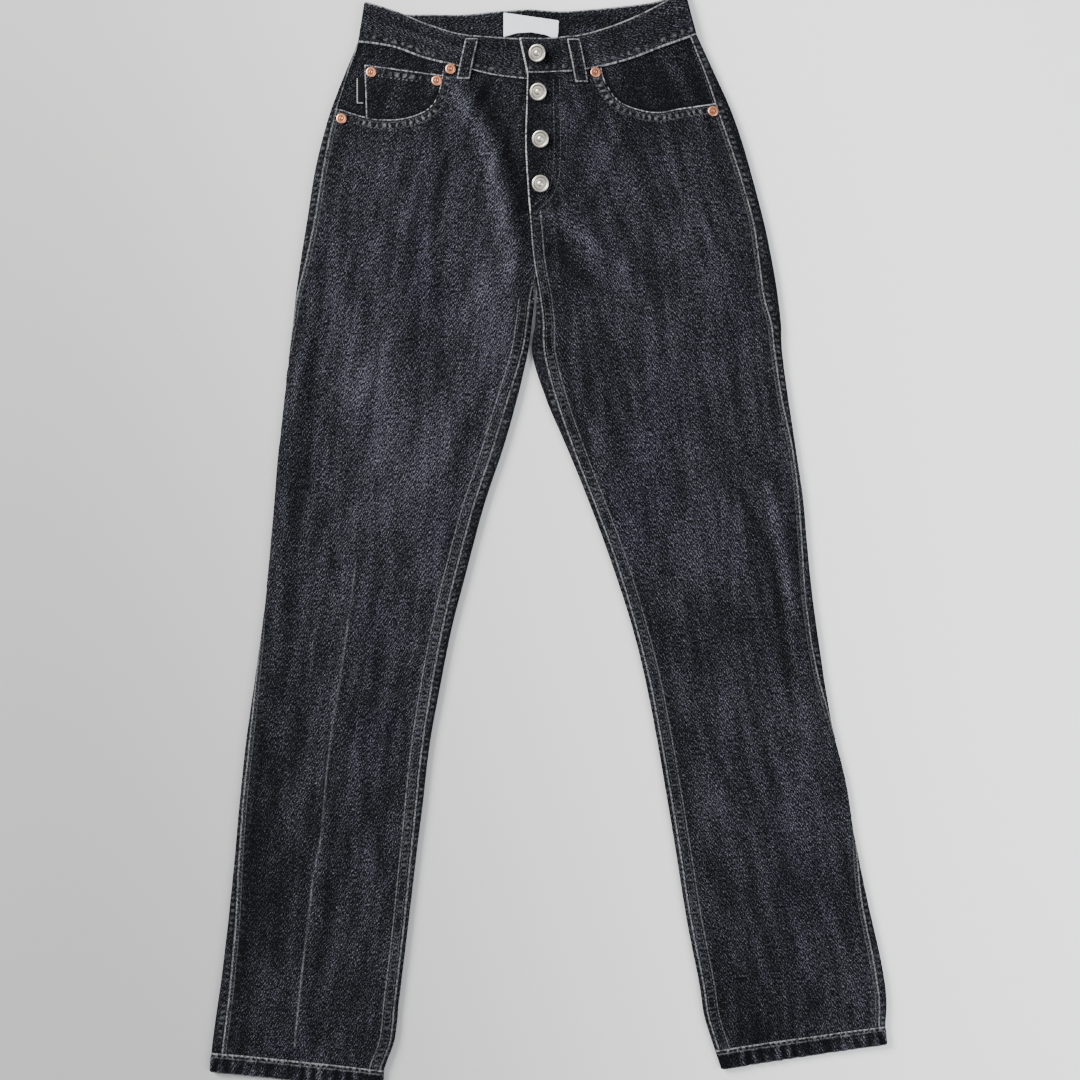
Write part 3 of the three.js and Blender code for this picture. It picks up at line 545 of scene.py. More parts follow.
def shell(name, outer, inner, values, keeps=(), turn=1, ring=False):
    """Two layers of a grid of points and their rim. Keeps are rules that say what is left of it."""
    rows, columns = outer.shape[:2]
    spans = columns if ring else columns - 1
    i, j = np.meshgrid(np.arange(rows - 1), np.arange(spans), indexing="ij")
    here, below, right = i * columns, (i + 1) * columns, (j + 1) % columns
    faces = np.stack([here + j, below + j, below + right, here + right], -1)
    faces = faces.reshape(-1, 4)[:, ::turn]
    names = list(values)
    extras = [np.broadcast_to(values[n], (rows, columns)).reshape(-1, 1) for n in names]
    data = np.concatenate([outer.reshape(-1, 3), inner.reshape(-1, 3), *extras], 1)
    faces = [list(face) for face in faces]
    for keep_of in keeps:
        data, faces = recut(data, faces, keep_of)
    used = np.unique(np.concatenate([np.array(face) for face in faces]))
    order = np.full(len(data), -1)
    order[used] = np.arange(len(used))
    data = data[used]
    faces = [[int(order[v]) for v in face] for face in faces]
    count = len(data)
    edges = border_of(faces)
    top, under = data[:, 0:3], data[:, 3:6]
    away = np.zeros((count, 3))
    for a, b in edges:
        way = unit(np.cross(top[b] - top[a], top[a] - under[a]))
        away[a] += way
        away[b] += way
    border = sorted({v for edge in edges for v in edge})
    middle = {v: 2 * count + k for k, v in enumerate(border)}
    wall = np.linalg.norm(top[border] - under[border], axis=1, keepdims=True)
    rim = (top[border] + under[border]) / 2 + unit(away[border]) * wall * RIM_BULGE
    solid = faces + [[v + count for v in reversed(face)] for face in faces]
    for a, b in edges:
        solid.append([b, a, middle[a], middle[b]])
        solid.append([middle[b], middle[a], a + count, b + count])
    extra = data[:, 6:]
    extra = np.concatenate([extra, extra, extra[border]])
    parts = {n: extra[:, k] for k, n in enumerate(names)}
    across, along = parts.pop("grain_across"), parts.pop("grain_along")
    parts["grain"] = np.stack([across, along, np.zeros(len(extra))], -1)
    return build(name, np.concatenate([top, under, rim]), solid, parts, CLOTH_ANGLE)


print("rims bulge by", RIM_BULGE, "of the wall")

# %% [markdown]
# ## Shader helpers
# A finish in Blender is a tree of nodes. Nodes could be drawn by hand in the editor, but a recipe in
# code can be read and repeated. This small wrapper adds a node, links or sets its inputs and hands
# back its output, so each material reads as a short recipe.
# %% Shader helpers
class Graph:
    """Adds nodes to one tree. Each method hands back the output of what it adds."""

    def __init__(self, tree):
        self.tree = tree

    def add(self, kind, *values, out=0, **settings):
        node = self.tree.nodes.new("ShaderNode" + kind)
        for key, value in settings.items():
            setattr(node, key, value)
        for socket, value in zip(node.inputs, values):
            self.feed(socket, value)
        return node.outputs[out]

    def feed(self, socket, value):
        if isinstance(value, bpy.types.NodeSocket):
            self.tree.links.new(value, socket)
        elif value is not None:
            socket.default_value = value

    def math(self, operation, a, b=None, c=None, clamp=False):
        return self.add("Math", a, b, c, operation=operation, use_clamp=clamp)

    def times(self, vector, size):
        return self.add("VectorMath", vector, size, operation="MULTIPLY")

    def dot(self, vector, way):
        return self.add("VectorMath", vector, way, out=1, operation="DOT_PRODUCT")

    def cloud(self, vector, detail=2.0, roughness=0.5, scale=1.0):
        return self.add("TexNoise", vector, None, scale, detail, roughness)

    def ease(self, value, low, high, start=0.0, end=1.0):
        return self.add("MapRange", value, low, high, start, end, interpolation_type="SMOOTHSTEP")

    def mix(self, factor, a, b, blend="MIX"):
        node = self.tree.nodes.new("ShaderNodeMix")
        node.data_type = "RGBA"
        node.blend_type = blend
        for k, value in ((0, factor), (6, a), (7, b)):
            self.feed(node.inputs[k], value)
        return node.outputs[2]

    def bump(self, height, strength, distance):
        node = self.tree.nodes.new("ShaderNodeBump")
        for word, value in (("Strength", strength), ("Distance", distance), ("Height", height)):
            self.feed(node.inputs[word], value)
        return node.outputs[0]

    def read(self, name, vector=False):
        node = self.tree.nodes.new("ShaderNodeAttribute")
        node.attribute_name = name
        return node.outputs["Vector" if vector else "Fac"]

    def group(self, group, **values):
        node = self.tree.nodes.new("ShaderNodeGroup")
        node.node_tree = group
        for key, value in values.items():
            self.feed(node.inputs[key], value)
        return node.outputs


print("shader helpers:", *(word for word in vars(Graph) if word[0] != "_"))

# %% [markdown]
# ## Groups and materials
# An effect that several finishes share is a node group with its own sockets, so that one change
# reaches all of them. What needs the shader itself stays in the material.
# %% Groups and materials
SOCKETS = {"value": "NodeSocketFloat", "colour": "NodeSocketColor", "vector": "NodeSocketVector"}


def group(name, inputs, outputs, recipe):
    """A node group: its sockets, then the recipe that links them."""
    tree = bpy.data.node_groups.new(name, "ShaderNodeTree")
    for word, kind, value in inputs:
        socket = tree.interface.new_socket(name=word, in_out="INPUT", socket_type=SOCKETS[kind])
        socket.default_value = value
    for word, kind in outputs:
        tree.interface.new_socket(name=word, in_out="OUTPUT", socket_type=SOCKETS[kind])
    start = tree.nodes.new("NodeGroupInput")
    end = tree.nodes.new("NodeGroupOutput")
    graph = Graph(tree)
    for word, socket in recipe(graph, {s.name: s for s in start.outputs}).items():
        graph.feed(end.inputs[word], socket)
    return tree


def material(name, recipe):
    """A material whose recipe hands back what feeds the Principled shader's sockets."""
    made = bpy.data.materials.new(name)
    made.use_nodes = True
    shader = made.node_tree.nodes["Principled BSDF"]
    graph = Graph(made.node_tree)
    for word, value in recipe(graph).items():
        graph.feed(shader.inputs[word], value)
    return made


print("kinds of socket:", *SOCKETS)

# %% [markdown]
# ## Washed denim
# Denim is dark warp over pale weft. Washing wears the warp in short streaks along the leg, so the
# cloth is a fine mix of near black and grey. Each thread could be modelled, but there are
# hundreds across a leg, so the weave is noise at several sizes. The group reads the way across
# and along the cloth in millimetres. It gives the colour and the weave's height for a bump.
# %% Denim group
# How many hills each noise has for a millimetre across and along the cloth
WARP_FINE, FLECK_FINE, SWAY_FINE = (1.9, 0.40, 1), (2.4, 1.3, 1), (0.16, 0.10, 1)
SLUB_FINE, BLOTCH_FINE, TINT_FINE = (0.09, 0.012, 1), (0.034, 0.018, 1), (0.012, 0.008, 1)
# The share that each noise has in the grain, and the blotches' in the tone
WARP_SHARE, FLECK_SHARE, WALE_SHARE, SLUB_SHARE, BLOTCH_SHARE = 0.38, 0.30, 0.22, 0.10, 0.36
TWILL_LEAN = 0.55  # radians
WALE = (2.30, 1.30, 0.0)  # radians for each millimetre, so the twill repeats every 2.4 mm
WALE_SWAY = 22.0  # radians that the twill's lines wander
INK = (0.0028, 0.0029, 0.0036, 1)
WORN = (0.142, 0.145, 0.181, 1)
WORN_BLUE = (0.141, 0.143, 0.190, 1)
SHADE_POWER = 2.5


def denim_recipe(g, given):
    """Warp streaks, flecks, twill lines and thick threads, mixed into one grain, then coloured."""
    place = given["Grain"]
    warp = g.ease(g.cloud(g.times(place, WARP_FINE), 1.0, 0.5), 0.40, 0.62)
    twill = g.add("VectorRotate", place, None, None, TWILL_LEAN, rotation_type="Z_AXIS")
    flecks = g.ease(g.cloud(g.times(twill, FLECK_FINE), 0.0, 0.5), 0.38, 0.62)
    turn = g.math("MULTIPLY_ADD", g.cloud(g.times(place, SWAY_FINE), 2.0, 0.6), WALE_SWAY, g.dot(place, WALE))
    wale = g.math("MULTIPLY_ADD", g.math("SINE", turn), 0.5, 0.5)
    slubs = g.ease(g.cloud(g.times(place, SLUB_FINE), 1.0, 0.6), 0.3, 0.7)
    blotch = g.cloud(g.times(place, BLOTCH_FINE), 3.0, 0.6)
    threads = g.math("MULTIPLY_ADD", slubs, SLUB_SHARE, g.math("MULTIPLY", warp, WARP_SHARE))
    threads = g.math("MULTIPLY_ADD", flecks, FLECK_SHARE, threads)
    grain = g.math("MULTIPLY_ADD", wale, WALE_SHARE, threads)
    level = g.math("MULTIPLY_ADD", g.math("SUBTRACT", blotch, 0.5), BLOTCH_SHARE, given["Fade"])
    shade = g.math("MULTIPLY_ADD", g.math("SUBTRACT", grain, 0.5), given["Contrast"], level, clamp=True)
    tint = g.ease(g.cloud(g.times(place, TINT_FINE), 2.0, 0.5), 0.5, 0.7)
    colour = g.mix(g.math("POWER", shade, SHADE_POWER), INK, g.mix(tint, WORN, WORN_BLUE))
    return {"Color": colour, "Height": grain}


denim_group = group(
    "washed denim",
    [("Grain", "vector", (0, 0, 0)), ("Fade", "value", 0.3), ("Contrast", "value", 1.5)],
    [("Color", "colour"), ("Height", "value")], denim_recipe)
print(denim_group.name, "has", len(denim_group.nodes), "nodes")

# %% [markdown]
# ## Worn edges and stitched rows
# Where denim is folded, the fold rubs first, so each turned edge carries a thin pale line. Beside
# it lies a stitched row, sunk and dark. Lines could be painted on, but then they would need a flat
# map of each piece. Here both are read from a distance in millimetres that the points carry, so
# the line stays crisp however coarse the mesh is.
# %% Edge groups
PALE = (0.36, 0.365, 0.385, 1)


def clouds_recipe(g, given):
    """The noise that edges and rows share: where a row strays, where a line breaks, what is rubbed."""
    place = given["Grain"]
    return {"Stray": g.cloud(g.times(place, (0.11, 0.11, 1)), 2.0, 0.5),
            "Ragged": g.cloud(g.times(place, (0.42, 0.42, 1)), 2.0, 0.75),
            "Rubbed": g.ease(g.cloud(g.times(place, (0.045, 0.045, 1)), 2.0, 0.6), 0.33, 0.62)}


clouds_group = group("wear clouds", [("Grain", "vector", (0, 0, 0))],
                     [("Stray", "value"), ("Ragged", "value"), ("Rubbed", "value")], clouds_recipe)


def line_recipe(g, given):
    """A thin pale line whose width and strength wander along it."""
    off = g.math("ABSOLUTE", g.math("SUBTRACT", given["Distance"], given["Place"]))
    wide = g.math("MULTIPLY", given["Width"], g.math("MULTIPLY_ADD", given["Ragged"], 1.1, 0.45))
    mask = g.math("SUBTRACT", 1.0, g.ease(off, g.math("MULTIPLY", wide, 0.25), wide))
    return {"Mask": g.math("MULTIPLY", mask, g.ease(given["Ragged"], 0.34, 0.64, 0.12, 1.0))}


line_group = group(
    "worn line",
    [("Ragged", "value", 0.5), ("Distance", "value", 0.0), ("Place", "value", 0.0), ("Width", "value", 1.0)],
    [("Mask", "value")], line_recipe)


def row_recipe(g, given):
    """A stitched row: a dark groove with paler rubbed bits that the stitches leave between them."""
    off = g.math("ABSOLUTE", g.math("SUBTRACT", given["Distance"], given["Place"]))
    steps = g.math("DIVIDE", 2 * math.pi, given["Pitch"])
    turn = g.math("MULTIPLY_ADD", given["Along"], steps, g.math("MULTIPLY", given["Stray"], 9.0))
    wave = g.math("MULTIPLY_ADD", g.math("SINE", turn), 0.5, 0.5)
    core = g.math("MULTIPLY", given["Width"], 0.2)
    near = g.math("SUBTRACT", 1.0, g.ease(off, core, given["Width"]))
    rubbed = g.math("MULTIPLY", given["Rubbed"], g.ease(given["Ragged"], 0.3, 0.62))
    light = g.math("MULTIPLY", g.math("MULTIPLY", near, g.ease(wave, 0.35, 1.0)), rubbed)
    dark = g.math("MULTIPLY", near, g.ease(wave, 0.75, 0.0))
    return {"Light": light, "Dark": dark, "Height": g.math("MULTIPLY", near, wave)}


row_group = group(
    "stitched row",
    [("Stray", "value", 0.5), ("Ragged", "value", 0.5), ("Rubbed", "value", 1.0), ("Distance", "value", 0.0),
     ("Along", "value", 0.0), ("Place", "value", 0.0), ("Width", "value", 1.0), ("Pitch", "value", 3.2)],
    [("Light", "value"), ("Dark", "value"), ("Height", "value")], row_recipe)
print("groups:", *sorted(tree.name for tree in bpy.data.node_groups), sep=" | ")

# %% [markdown]
# ## Denim for each kind of piece
# All the denim is one cloth, but each piece wears at other edges. So one maker takes lists of worn
# lines, stitched rows and shadows, and puts them over the washed denim. Denim is matt: it has
# next to no gloss, and a bump gives it the weave.
# %% Denim materials
FELL = 10.0  # width of the felled seam inside the leg in millimetres
FADE_AND_SHADE_SHARE = 0.75
DARK_SHARE, ROW_HEIGHT = 1.6, 1.5  # a row's groove against its rubbed bits, and against the weave
WEAVE_BUMP, WEAVE_DEPTH = 0.6, 0.0003


def denim_material(name, fade=0.08, contrast=2.05, lines=(), rows=(), shadows=(), sideways=False):
    """Denim with worn lines and stitched rows. A line is an attribute's name, its place in mm, its
    width and strength. A row adds the attribute that runs along it and its pitch. A shadow is an
    attribute, how far it reaches and its strength."""

    def recipe(g):
        grain = g.read("grain", True)
        cloth_way = grain
        if sideways:
            cloth_way = g.add("VectorRotate", grain, None, None, math.pi / 2, rotation_type="Z_AXIS")
        level = g.math("MULTIPLY_ADD", g.read("fade"), FADE_AND_SHADE_SHARE, fade)
        cloth_out = g.group(denim_group, Grain=cloth_way, Fade=level, Contrast=contrast)
        clouds = g.group(clouds_group, Grain=grain)
        colour, height = cloth_out["Color"], cloth_out["Height"]
        for word, reach, strength in shadows:
            colour = g.mix(g.ease(g.read(word), reach, 0.0, 0.0, strength), colour, INK)
        for word, way, place, width, pitch, strength in rows:
            wear = {key: clouds[key] for key in ("Stray", "Ragged", "Rubbed")}
            row = g.group(row_group, Distance=g.read(word), Along=g.read(way), Place=place, Width=width,
                          Pitch=pitch, **wear)
            colour = g.mix(g.math("MULTIPLY", row["Dark"], min(1.0, strength * DARK_SHARE)), colour, INK)
            colour = g.mix(g.math("MULTIPLY", row["Light"], strength), colour, PALE)
            height = g.math("MULTIPLY_ADD", row["Height"], ROW_HEIGHT, height)
        for word, place, width, strength in lines:
            line = g.group(line_group, Ragged=clouds["Ragged"], Distance=g.read(word), Place=place,
                           Width=width)
            colour = g.mix(g.math("MULTIPLY", line["Mask"], strength), colour, PALE)
        weave = g.bump(height, WEAVE_BUMP, WEAVE_DEPTH)
        return {"Base Color": colour, "Roughness": 0.95, "Normal": weave, "Specular IOR Level": 0.03}

    return material(name, recipe)


front_denim = denim_material(
    "front denim",
    lines=[("from_outseam", 0.0, 0.9, 0.50), ("from_outseam", 3.2, 0.8, 0.15),
           ("from_inseam", 0.0, 0.9, 0.42), ("from_fell", FELL, 0.9, 0.22), ("from_flap", 0.0, 1.2, 0.9),
           ("from_mouth", 0.0, 1.0, 0.8), ("from_crease", 0.0, 1.7, 0.13), ("from_crease", 0.0, 0.8, 0.14)],
    rows=[("from_mouth", "mouth_along", 5.3, 3.2, 6.0, 0.30),
          ("from_mouth", "mouth_along", 8.6, 1.0, 3.2, 0.2),
          ("from_fell", "down", 5.0, 3.6, 5.0, 0.12), ("from_outseam", "down", 6.5, 3.5, 7.5, 0.04),
          ("from_fly", "down", 0.0, 1.1, 3.2, 0.12), ("from_fly", "down", 6.0, 1.1, 3.2, 0.10)],
    shadows=[("from_waist", 5.0, 0.85), ("from_outseam", 7.0, 0.45), ("from_slot", 1.5, 0.5)])
coin_denim = denim_material(
    "coin pocket denim", fade=-0.04, lines=[("from_top", 0.0, 1.1, 0.75), ("from_foot", 0.0, 0.9, 0.75)],
    shadows=[("from_mouth", 5.0, 0.6)],
    rows=[("from_top", "mouth_along", 5.2, 3.0, 7.0, 0.34), ("from_top", "mouth_along", 8.8, 1.0, 4.0, 0.45)])
inner_denim = denim_material("pocket denim", fade=-0.08, lines=[("from_edge", 0.0, 1.0, 0.5)],
                             shadows=[("from_mouth", 7.0, 0.8), ("from_waist", 4.0, 0.6)])
patch_denim = denim_material(
    "back pocket denim", lines=[("from_edge", 0.0, 1.2, 0.6)],
    rows=[("from_edge", "down", 2.4, 1.0, 3.2, 0.35), ("from_edge", "down", 8.4, 1.0, 3.2, 0.3)])
back_denim = denim_material(
    # The back is darker overall, partly from the wash and partly as painted shade on the strip that rolls
    # down beside each front
    "back denim", fade=-0.06, lines=[("from_edge", 0.0, 1.0, 0.4)],
    rows=[("from_edge", "down", 4.0, 3.0, 6.0, 0.14)])
print("denim materials made")

# %% [markdown]
# ## Fades
# Washing pales the thighs and knees and the pressed crease, and leaves the cloth dark beside the seams. A
# fade could be painted as a picture. Here it is a sum of soft ellipses and streaks, which stays sharp at any
# size and can be read. They were placed one by one, then moved and made stronger or weaker where the render
# was brighter or darker than the photograph.
# Part of this is painted light: the pale streaks on the folds' crests are partly painted highlight, and the
# dark streaks in their hollows, some patches under the waistband and beside the crotch seam, and the dark
# beside the rolled edges are painted shade.
# %% Fades
# Washed pale and dark patches, and some patches of painted shade under the waistband and beside the crotch
# seam: middle x and y, half width and half length, lean in degrees, strength
FADE_AND_SHADE_PATCHES = [
    (-110, 90, 66, 100, -8, 0.07), (-75, 95, 22, 60, 20, 0.08), (-150, -70, 60, 90, -6, 0.05),
    (-130, -190, 55, 80, -10, 0.11), (-215, -560, 75, 220, -8, -0.09),
    (-250, -330, 24, 200, -8, -0.10), (70, 110, 40, 60, 0, 0.06), (150, -210, 40, 50, 30, 0.10),
    (120, -90, 50, 70, 10, 0.05), (262, -440, 30, 120, 12, 0.08), (200, -600, 70, 110, 8, -0.06),
    (0, 60, 24, 70, 0, -0.08), (-70, -170, 22, 120, -14, -0.03), (60, -60, 22, 70, 14, -0.05),
    (-60, -20, 24, 90, -10, 0.08), (-215, 60, 16, 120, 8, -0.08), (222, 60, 16, 120, -8, -0.09),
    (-120, 215, 60, 30, 0, -0.04), (290, -620, 24, 60, 10, 0.06), (110, 215, 50, 30, 0, -0.06),
    (60, -330, 30, 90, 14, -0.04), (-272, -560, 22, 240, 5, -0.08), (278, -350, 14, 70, 8, -0.12),
    (313, -570, 14, 90, 9, -0.12), (-74, -290, 14, 60, -12, -0.10), (-29, 17, 16, 30, 0, 0.10),
    (85, 17, 18, 30, 20, 0.08), (-97, -20, 20, 50, 0, -0.10), (-143, -55, 26, 40, 0, 0.06),
    (-150, 200, 40, 40, 0, -0.07), (85, 185, 26, 34, 0, -0.09), (200, 120, 18, 60, -6, -0.07),
    (10, 17, 14, 22, 0, -0.10), (160, -650, 20, 40, 14, -0.12), (-240, -680, 60, 22, -4, -0.05),
    (240, -660, 70, 22, 8, -0.06), (-143, -78, 26, 34, 0, 0.14), (-86, -116, 28, 34, 0, 0.13),
    (-29, 30, 16, 40, 0, 0.10), (85, -2, 24, 34, 0, 0.12), (-181, -2, 24, 34, 0, 0.12),
    (275, -325, 20, 50, 8, -0.10), (9, -2, 14, 30, 0, -0.12), (160, -648, 30, 30, 0, -0.08),
    (-262, -515, 16, 120, 5, -0.08), (-105, -477, 20, 50, 0, -0.08), (-67, -287, 18, 30, 0, -0.08),
    (123, -439, 22, 40, 12, -0.10), (313, -515, 18, 40, 8, -0.08), (-34, -20, 13, 60, 0, 0.20),
    (-3, -26, 10, 30, 0, -0.30), (151, 88, 30, 18, 0, 0.12), (80, 31, 16, 20, 0, 0.14),
    (51, 60, 16, 14, 0, 0.08), (-160, -45, 30, 50, 0, 0.10), (-100, -180, 55, 36, 0, 0.10),
    (-91, -240, 20, 30, 0, 0.09), (-195, -270, 24, 40, 0, 0.09), (-148, -300, 14, 80, -8, -0.09),
    (-262, -570, 18, 130, 5, -0.12), (223, -681, 50, 15, 8, -0.28), (-148, -681, 24, 16, 0, -0.11),
    (51, 117, 18, 22, 0, -0.12), (194, 117, 20, 30, 0, -0.12), (-120, 3, 16, 50, 0, -0.09),
    (-63, 165, 12, 50, 0, -0.09), (108, 176, 24, 34, 0, -0.13), (-91, 202, 18, 14, 0, -0.10),
    (51, -80, 16, 50, 14, -0.07), (279, -530, 14, 60, 8, 0.06), (-40, 216, 30, 10, -6, -0.16),
    (52, 215, 14, 14, 0, -0.16), (-50, 236, 16, 12, 0, -0.20), (-91, 145, 14, 24, 0, 0.10),
    (-34, 130, 12, 26, 0, 0.08), (-6, 70, 10, 36, 0, 0.11), (-34, -75, 12, 30, 0, 0.12),
    (80, 88, 14, 16, 0, -0.11), (80, 31, 14, 20, 0, 0.11), (23, 60, 11, 40, 0, -0.09),
    (-135, -197, 26, 22, 0, 0.09), (-148, -311, 12, 20, 0, -0.07), (-177, -297, 12, 30, 0, 0.08),
    (-262, -453, 12, 40, 5, -0.08), (-6, -30, 8, 26, 0, -0.16), (-177, 145, 16, 20, 0, -0.10),
    (194, 117, 16, 20, 0, -0.08), (-63, 117, 12, 20, 0, -0.09),
]
# Pale streaks on the folds' crests, partly rubbed wear and partly painted highlight, and dark streaks of
# painted shade in their hollows: strength, width, then the path
FOLD_WEAR_HIGHLIGHT_AND_SHADE = [
    (0.05, 9.0, [(-170, -268), (-186, -382), (-202, -552), (-220, -690)]),
    (0.26, 8.0, [(-70, 210), (-50, 176), (-36, 140), (-26, 90), (-22, 50)]),
    (-0.34, 9.0, [(-46, 214), (-24, 168), (-13, 120), (-9, 80)]),
    (0.12, 7.0, [(-215, -20), (-226, -110), (-238, -200), (-250, -330)]),
    (-0.18, 7.0, [(-205, -30), (-214, -110), (-224, -190)]),
    (0.16, 6.0, [(222, -160), (239, -232), (247, -290), (252, -350), (262, -430)]),
    (-0.30, 6.0, [(198, -165), (214, -192), (229, -232), (237, -286), (244, -336)]),
    (0.16, 8.0, [(22, 96), (51, 74), (86, 46)]), (-0.18, 9.0, [(20, 62), (54, 36), (92, 12)]),
    (-0.26, 6.0, [(68, 214), (60, 194), (44, 168)]), (0.14, 7.0, [(84, 184), (66, 140), (46, 112)]),
    (-0.12, 6.0, [(-24, -30), (-52, -90), (-80, -150)]), (0.10, 8.0, [(-40, 24), (-50, -42), (-74, -128)]),
    (-0.16, 7.0, [(-92, 196), (-84, 150), (-92, 90)]), (-0.12, 8.0, [(40, 60), (70, -10), (96, -100)]),
]
# The crease that pressing left down the right leg
PRESSED = [(-166, -230), (-169, -264), (-176, -308), (-182, -350), (-188, -390), (-193, -430),
           (-198, -490), (-206, -530), (-211, -574), (-219, -640), (-224, -690)]
FLAP_DARKER = 0.22


def fade_and_shade_at(x, y):
    """How much paler, or below zero darker, the cloth is at each point: washed fades and wear, and painted
    highlight and painted shade.
    """
    total = 0.05 * noise(x / 24, y / 32, 11) + 0.035 * noise(x / 60, y / 75, 12)
    # long streaks down the right leg, the dark flap, and slanting streaks on the left leg
    total = total + 0.05 * noise((x + 0.16 * y) / 9, y / 110, 13) * (x < 0)
    total = total - FLAP_DARKER * smooth(30, 25, x) * smooth(-12, -6, x) * smooth(94, 104, y)
    total = total + 0.055 * noise((x + 0.55 * y) / 11, (y - 0.5 * x) / 70, 14) * smooth(20, 60, x)
    for cx, cy, half, length, lean, strength in FADE_AND_SHADE_PATCHES:
        a = math.radians(lean)
        across = (x - cx) * math.cos(a) - (y - cy) * math.sin(a)
        along = (x - cx) * math.sin(a) + (y - cy) * math.cos(a)
        total = total + strength * np.exp(-((across / half) ** 2) - (along / length) ** 2)
    # short streaks below the waistband
    total = total + 0.10 * noise(x / 3.2, y / 26, 16) * smooth(150, 235, y)
    return total + bumps(x, y, FOLD_WEAR_HIGHLIGHT_AND_SHADE)


print("patches", len(FADE_AND_SHADE_PATCHES), "streaks", len(FOLD_WEAR_HIGHLIGHT_AND_SHADE))

# %% [markdown]
# ## Pocket mouths and the fly
# The scoop of a front pocket is a curve from the waistband to the side seam. The flap of the fly
# laps left over right, with a stitched curve beside it and three buttonholes. These lines cut the
# panels and also carry the wear, so they are drawn once as paths.
# %% Mouths and fly
MOUTHS = {
    "right": [(-82, 242), (-84, 226), (-87, 213), (-92, 202), (-101, 194), (-117, 188), (-135, 186),
              (-155, 188), (-182, 196)],
    "left": [(66, 242), (67, 230), (71, 220), (77, 210), (84, 203), (97, 197), (119, 193), (144, 197),
             (181, 202)],
}
SCOOP_FAR = 110  # millimetres, how far the cut runs on past the pocket
FLY_STITCH = [(27, 224), (28, 160), (26, 130), (19, 112), (5, 99)]
BUTTONHOLE = {"length": 12.6, "width": 4.6, "start": -3.4}
BUTTONS = {"waist": (6, 247), "fly_1": (7, 211), "fly_2": (9, 167), "fly_3": (9, 125)}


def slot_outline(x, y):
    start, half = x + BUTTONHOLE["start"], BUTTONHOLE["width"] / 2
    end, nick = start + BUTTONHOLE["length"], half * 0.6
    return [(start, y - nick), (start + nick, y - half), (end - nick, y - half), (end, y - nick),
            (end, y + nick), (end - nick, y + half), (start + nick, y + half), (start, y + nick)]


def from_slots(x, y):
    """Distance to the nearest buttonhole of the fly, below zero inside it."""
    return np.min([-signed(x, y, slot_outline(*BUTTONS[f"fly_{k}"])) for k in (1, 2, 3)], axis=0)


def scoop(side, move_x=0.0, move_y=0.0):
    """The outline that a pocket mouth cuts away, moved if a piece needs it larger or smaller."""
    mouth = [(x + move_x, y + move_y) for x, y in fine(MOUTHS[side["name"]], 60)]
    far_x = mouth[-1][0] - side["turn"] * SCOOP_FAR
    top = mouth[-1][1] + SCOOP_FAR
    return [(mouth[0][0], top), *mouth, (far_x, mouth[-1][1]), (far_x, top)]


print("the right scoop is drawn with", len(scoop(SIDES["right"])), "points")

# %% [markdown]
# ## Relief of the fronts
# Two layers of cloth sewn together shrink unevenly in the wash, so the cloth puckers beside each
# seam. That could be a bump alone, but real relief also catches the window's light from the side.
# The relief adds puckers, the doubled fell of the inside leg and the turned edge of the mouth.
# %% Relief of the fronts
def front_relief(side, s, t, flat, outseam, inseam):
    """The relief in millimetres, and the distance to the mouth and the way along it."""
    x, y = flat[..., 0], flat[..., 1]
    seed = 40 if side["lap"] else 20
    along = 260 - y
    from_out, from_in = t - outseam, inseam - t
    mouth, mouth_along = to_path(x, y, fine(MOUTHS[side["name"]], 60))
    # waves of three sizes, and the small creases
    relief = 0.30 * noise(t / 34, along / 60, seed) + 0.16 * noise(t / 15, along / 26, seed + 1)
    relief = relief + 0.05 * noise(t / 6, along / 8, seed + 2) + bumps(x, y, CREASES)
    # puckers beside the side seam and the inside leg seam, and the doubled fell
    relief = relief + 0.32 * bell(from_out / 6) * noise(along / 6.5, from_out / 9, seed + 3)
    relief = relief + 0.30 * bell(from_in / 9) * noise(along / 6, from_in / 9, seed + 4)
    relief = relief + 0.45 * (1 - smooth(FELL - 1.2, FELL + 1.2, from_in)) * smooth(4.5, 6.5, s)
    # the mouth's turned edge is thicker and puckered
    near = 1 - smooth(8.5, 11.5, mouth)
    turned_edge = 0.3 * bell((mouth - 5) / 3.2) * noise(mouth_along / 4.5, mouth / 8, seed + 5)
    relief = relief + 0.35 * near + turned_edge
    # the flap's puckers, and the step down beside it
    if side["lap"]:
        flap = smooth(32, 26, x) * smooth(96, 106, y)
        step = 0.5 * bell((x - 31) / 2.0) * smooth(110, 120, y)
        relief = relief + 0.35 * flap * noise(x / 16, y / 6, 17) - step
    # two stitched grooves along the mouth
    relief = relief - 0.22 * bell(mouth - 2) - 0.22 * bell(mouth - 8)
    return relief, mouth, mouth_along


print("relief reaches", FELL, "mm from the inside leg seam where the fell is")

# %% [markdown]
# ## What each point of a front knows
# The materials need distances in millimetres: to the seams, the mouth, the waist, the fly's
# stitching and the pressed crease. They are measured once for each point, before the sheet is cut.
# Where a piece has no such line, the distance is far away, so the same material serves both legs.
# %% Values on the fronts
FAR = 99.0  # millimetres
FELL_FROM, FLAP_FOOT = {"right": 19, "left": 100}, 98
LAST_SECTION = 33  # millimetres between the last sections of a leg
# Each kind of piece starts elsewhere in the noise, so that no two repeat each other
GRAIN_START = {"right": 0, "left": 900, "back": 2000, "band": 4000, "hem": 6000, "loop": 7000, "seat": 8000}


